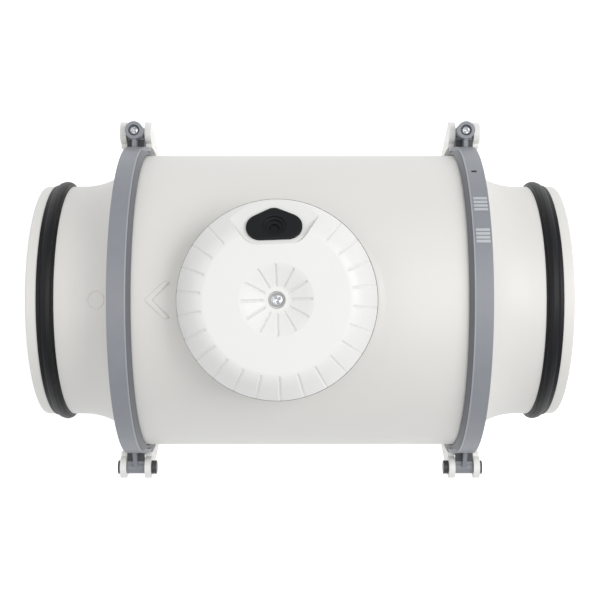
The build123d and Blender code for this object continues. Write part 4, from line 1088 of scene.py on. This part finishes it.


# ------------------------------------------------------------------ details on the clamps, with painted shade and highlights


@dataclass
class ClampDetails:
    """Edges, lug pockets, grip pads and witness slot of the clamps, laid on the carried-over bands, with
    painted shade on the flanks, pocket floors and slot, and painted highlights on the edge beads and ribs.
    """

    axis_height: float
    band_r: float = 99.6
    pad_in: float = 101.8
    pad_width: float = 8.2
    pad_height: float = 9.0
    ribs: int = 4
    pads_y: tuple[float, ...] = (56.4, 37.3)
    proud: float = 0.3
    slot_y: float = 77.6
    slot_in: float = 103.4
    slot_out: float = 106.6
    ear_mid: float = 107.1
    lug_half: float = 5.5
    web_half: float = 1.3
    lug_y: tuple[float, float] = (99.4, 104.4)
    knuckle_y: tuple[float, float] = (-105.2, -99.9)
    pocket_round: float = 0.6
    plate_top: float = 3.5
    flank_in: float = 97.7
    band_in: float = 100.1
    casing_r: float = 93.8
    band_start: float = 0.8
    band_stop: float = 179.2
    rib_share: float = 0.8

    def band_edges(self, end: End) -> None:
        """Build the sloping flank on the body side of a band, dark with painted shade, and the pale bead
        along its edge, a painted highlight.

        Args:
            end: Which clamp.
        """
        # The flank's darker grey is painted shade where it turns away from the light
        flank = [
            (end.value * self.flank_in, self.casing_r + 0.7),
            (end.value * (self.band_in + 0.2), self.casing_r + 0.7),
            (end.value * (self.band_in + 0.2), self.band_r - 0.5),
            (end.value * (self.band_in - 0.3), self.band_r - 0.6),
            (end.value * self.flank_in, self.casing_r + 1.9),
        ]
        # The bead's paler grey is a painted highlight along the band's edge
        bead = rounded(
            [
                (end.value * (self.band_in + 0.02), self.band_r - 0.6, 0.0),
                (end.value * (self.band_in + 0.95), self.band_r - 0.6, 0.0),
                (end.value * (self.band_in + 0.85), self.band_r + 0.16, 0.15),
                (end.value * (self.band_in + 0.02), self.band_r + 0.1, 0.2),
            ],
            4,
        )
        edges = (("flank", flank, Palette.SHADED_FLANK_NYLON), ("bead", bead, Palette.HIGHLIGHT_EDGE_NYLON))
        for name, section, finish in edges:
            lathe(
                f"{end.label}_band_{name}",
                section,
                self.axis_height,
                finish,
                end.clamp_body,
                self.band_start,
                self.band_stop,
                180,
            )

    def pocket_floor(self, end: End, number: int, reach: Point, side: int) -> bpy.types.Object:
        """Build a thin dark sheet on the floor of one cored-out pocket beside a lug's web: painted shade for
        the hollow.

        Args:
            end: Which clamp.
            number: Number of the pocket on that clamp.
            reach: Where it starts and stops along Y.
            side: Which side of the web it lies on.

        Returns:
            The pocket floor.
        """
        near, far = sorted((side * self.web_half, side * self.lug_half))
        x0, x1 = end.value * self.ear_mid + near, end.value * self.ear_mid + far
        y0, y1 = reach
        soft = self.pocket_round
        outline = rounded([(x0, y0, soft), (x1, y0, soft), (x1, y1, soft), (x0, y1, soft)], 4)
        flat = np.array(outline, float)
        loops = [
            np.column_stack([flat, np.full(len(flat), self.axis_height + height)])
            for height in (self.plate_top - 0.3, self.plate_top + 0.2, self.plate_top + 0.35)
        ]
        # A dark sheet laid in the pocket: painted shade for the cored-out hollow
        return lofted(f"{end.label}_lug_pocket_{number}", loops, Palette.DARK_NYLON_AND_PAINTED_SHADE, end.clamp_body)

    def build(self) -> None:
        """Build the edges and lug pockets of both bands, and the pads and witness slot of the inlet's; the
        flanks, pocket floors and slot are dark with painted shade, the edge beads pale with a painted
        highlight.
        """
        for end in End:
            self.band_edges(end)
            places = [(reach, side) for reach in (self.lug_y, self.knuckle_y) for side in (-1, 1)]
            for number, (reach, side) in enumerate(places):
                self.pocket_floor(end, number, reach, side)
        # The witness slot is a thin black strip on the band: painted shade for the slot's hollow
        slot_angle = math.degrees(math.acos(self.slot_y / self.band_r))
        slot = [
            (self.slot_in, self.band_r - 0.3),
            (self.slot_out, self.band_r - 0.3),
            (self.slot_out, self.band_r + 0.06),
            (self.slot_in, self.band_r + 0.06),
        ]
        lathe(
            "inlet_witness_slot",
            slot,
            self.axis_height,
            Palette.EPDM,
            Body.INLET_CLAMP,
            slot_angle - 0.5,
            slot_angle + 0.5,
            4,
        )
        for number, y in enumerate(self.pads_y):
            for rib in range(self.ribs):
                pitch = self.pad_height / self.ribs
                middle = y + (rib - (self.ribs - 1) / 2) * pitch
                self.rib(f"inlet_grip_pad_{number}_rib_{rib}", middle, pitch * self.rib_share)

    def rib(self, name: str, y: float, width: float) -> bpy.types.Object:
        """Build one rib that follows the band's curve.

        Args:
            name: Name of the piece.
            y: Where its middle lies, across the duct.
            width: Its width along the band.

        Returns:
            The rib.
        """
        x0, x1 = self.pad_in, self.pad_in + self.pad_width
        angle = math.acos(y / self.band_r)
        half = width / 2 / self.band_r
        section = rounded(
            [
                (x0, self.band_r - 0.3, 0.0),
                (x1, self.band_r - 0.3, 0.0),
                (x1, self.band_r + self.proud, 0.2),
                (x0, self.band_r + self.proud, 0.2),
            ],
            3,
        )
        return lathe(
            name,
            section,
            self.axis_height,
            Palette.RIB_NYLON,
            Body.INLET_CLAMP,
            math.degrees(angle - half),
            math.degrees(angle + half),
            6,
        )


# ------------------------------------------------------------------ studio


@dataclass
class Softbox:
    """One soft area light."""

    name: str
    place: Point3
    target: Point3
    size: float
    watts: float
    colour: str = "#FFFFFF"

    def build(self) -> None:
        """Hang the light and aim it."""
        data = bpy.data.lights.new(self.name, "AREA")
        data.shape = "SQUARE"
        data.size = self.size
        data.energy = self.watts
        data.color = linear(self.colour)[:3]
        lamp = bpy.data.objects.new(self.name, data)
        bpy.context.scene.collection.objects.link(lamp)
        lamp.location = self.place
        aim = Vector(self.target) - Vector(self.place)
        lamp.rotation_euler = aim.to_track_quat("-Z", "Y").to_euler()


@dataclass
class Studio:
    """Pale floor, soft lights, pale surroundings and the camera straight above the fan."""

    axis_height: float
    camera_height: float = 0.898
    lens: float = 71.76
    sensor: float = 36.0
    floor_half: float = 14.0
    floor_drop: float = 0.0005
    floor_glow: float = 0.42
    room_glow: float = 0.5

    def floor(self) -> None:
        """Lay a broad pale floor."""
        half = self.floor_half
        mesh = bpy.data.meshes.new("studio_floor")
        corners = [(-half, -half, 0), (half, -half, 0), (half, half, 0), (-half, half, 0)]
        mesh.from_pydata(corners, [], [(0, 1, 2, 3)])
        paint = bpy.data.materials.new("matt_white_paper")
        paint.use_nodes = True
        shader = paint.node_tree.nodes["Principled BSDF"]
        shader.inputs["Base Color"].default_value = linear("#FAFAFA")
        shader.inputs["Roughness"].default_value = 0.9
        shader.inputs["Emission Color"].default_value = linear("#FFFFFF")
        shader.inputs["Emission Strength"].default_value = self.floor_glow
        mesh.materials.append(paint)
        floor = bpy.data.objects.new("studio_floor", mesh)
        floor.location.z = -self.floor_drop
        bpy.context.scene.collection.objects.link(floor)

    def surroundings(self) -> None:
        """Fill the room with an even pale light."""
        world = bpy.data.worlds.new("studio_room")
        world.use_nodes = True
        ground = world.node_tree.nodes["Background"]
        ground.inputs["Color"].default_value = linear("#F4F6FA")
        ground.inputs["Strength"].default_value = self.room_glow
        bpy.context.scene.world = world

    def camera(self) -> None:
        """Hang the camera over the duct axis, looking straight down."""
        data = bpy.data.cameras.new("studio_camera")
        data.lens = self.lens
        data.sensor_width = self.sensor
        camera = bpy.data.objects.new("studio_camera", data)
        camera.location = (0.0, 0.0, self.camera_height)
        bpy.context.scene.collection.objects.link(camera)
        bpy.context.scene.camera = camera

    def build(self) -> None:
        """Set the whole studio up."""
        middle = (0.0, 0.0, self.axis_height * MM)
        self.floor()
        self.surroundings()
        Softbox("key_softbox", (0.75, 0.2, 1.05), middle, 0.7, 6.2).build()
        Softbox("overhead_softbox", (0.1, -0.1, 1.5), middle, 1.1, 5.0).build()
        Softbox("left_fill", (-0.8, 0.2, 0.8), middle, 0.9, 1.7).build()
        self.camera()
        bpy.context.scene.view_settings.view_transform = "Standard"


# ------------------------------------------------------------------ putting it together


def main() -> None:
    """Load the frame, build each sub-assembly from the boxes of the inlet spigot and the terminal cover, and
    build the studio.
    """
    logging.basicConfig(level=logging.INFO, format="%(message)s")
    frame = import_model()
    dress_frame(frame["nodes"])
    low, high = corners_mm("inlet_spigot")
    axis_height = (low.z + high.z) / 2
    DuctLine(axis_height, high.x).build()
    cover_low, cover_high = corners_mm("terminal_cover")
    cover = TerminalCover((cover_low.x + cover_high.x) / 2, cover_low.z, cover_high.z)
    grommet = CableGrommet(cover)
    grommet.opening(cover.build())
    cover.joint_shadow_ring()
    grommet.build()
    CrossHeadScrew("cover_cross_head_screw", "cover_screw", Body.COVER_FASTENER, 3.8, 2.3, 1.9, 28.0).build()
    for end, body, turn in ((End.OUTLET, Body.OUTLET_SCREW, 40.0), (End.INLET, Body.INLET_SCREW, 65.0)):
        name = f"{end.label}_clamp_cross_head_screw"
        CrossHeadScrew(name, f"{end.label}_clamp_screw", body, 3.0, 2.2, 2.0, turn).build()
    ClampDetails(axis_height).build()
    Studio(axis_height).build()


if __name__ == "__main__":
    main()
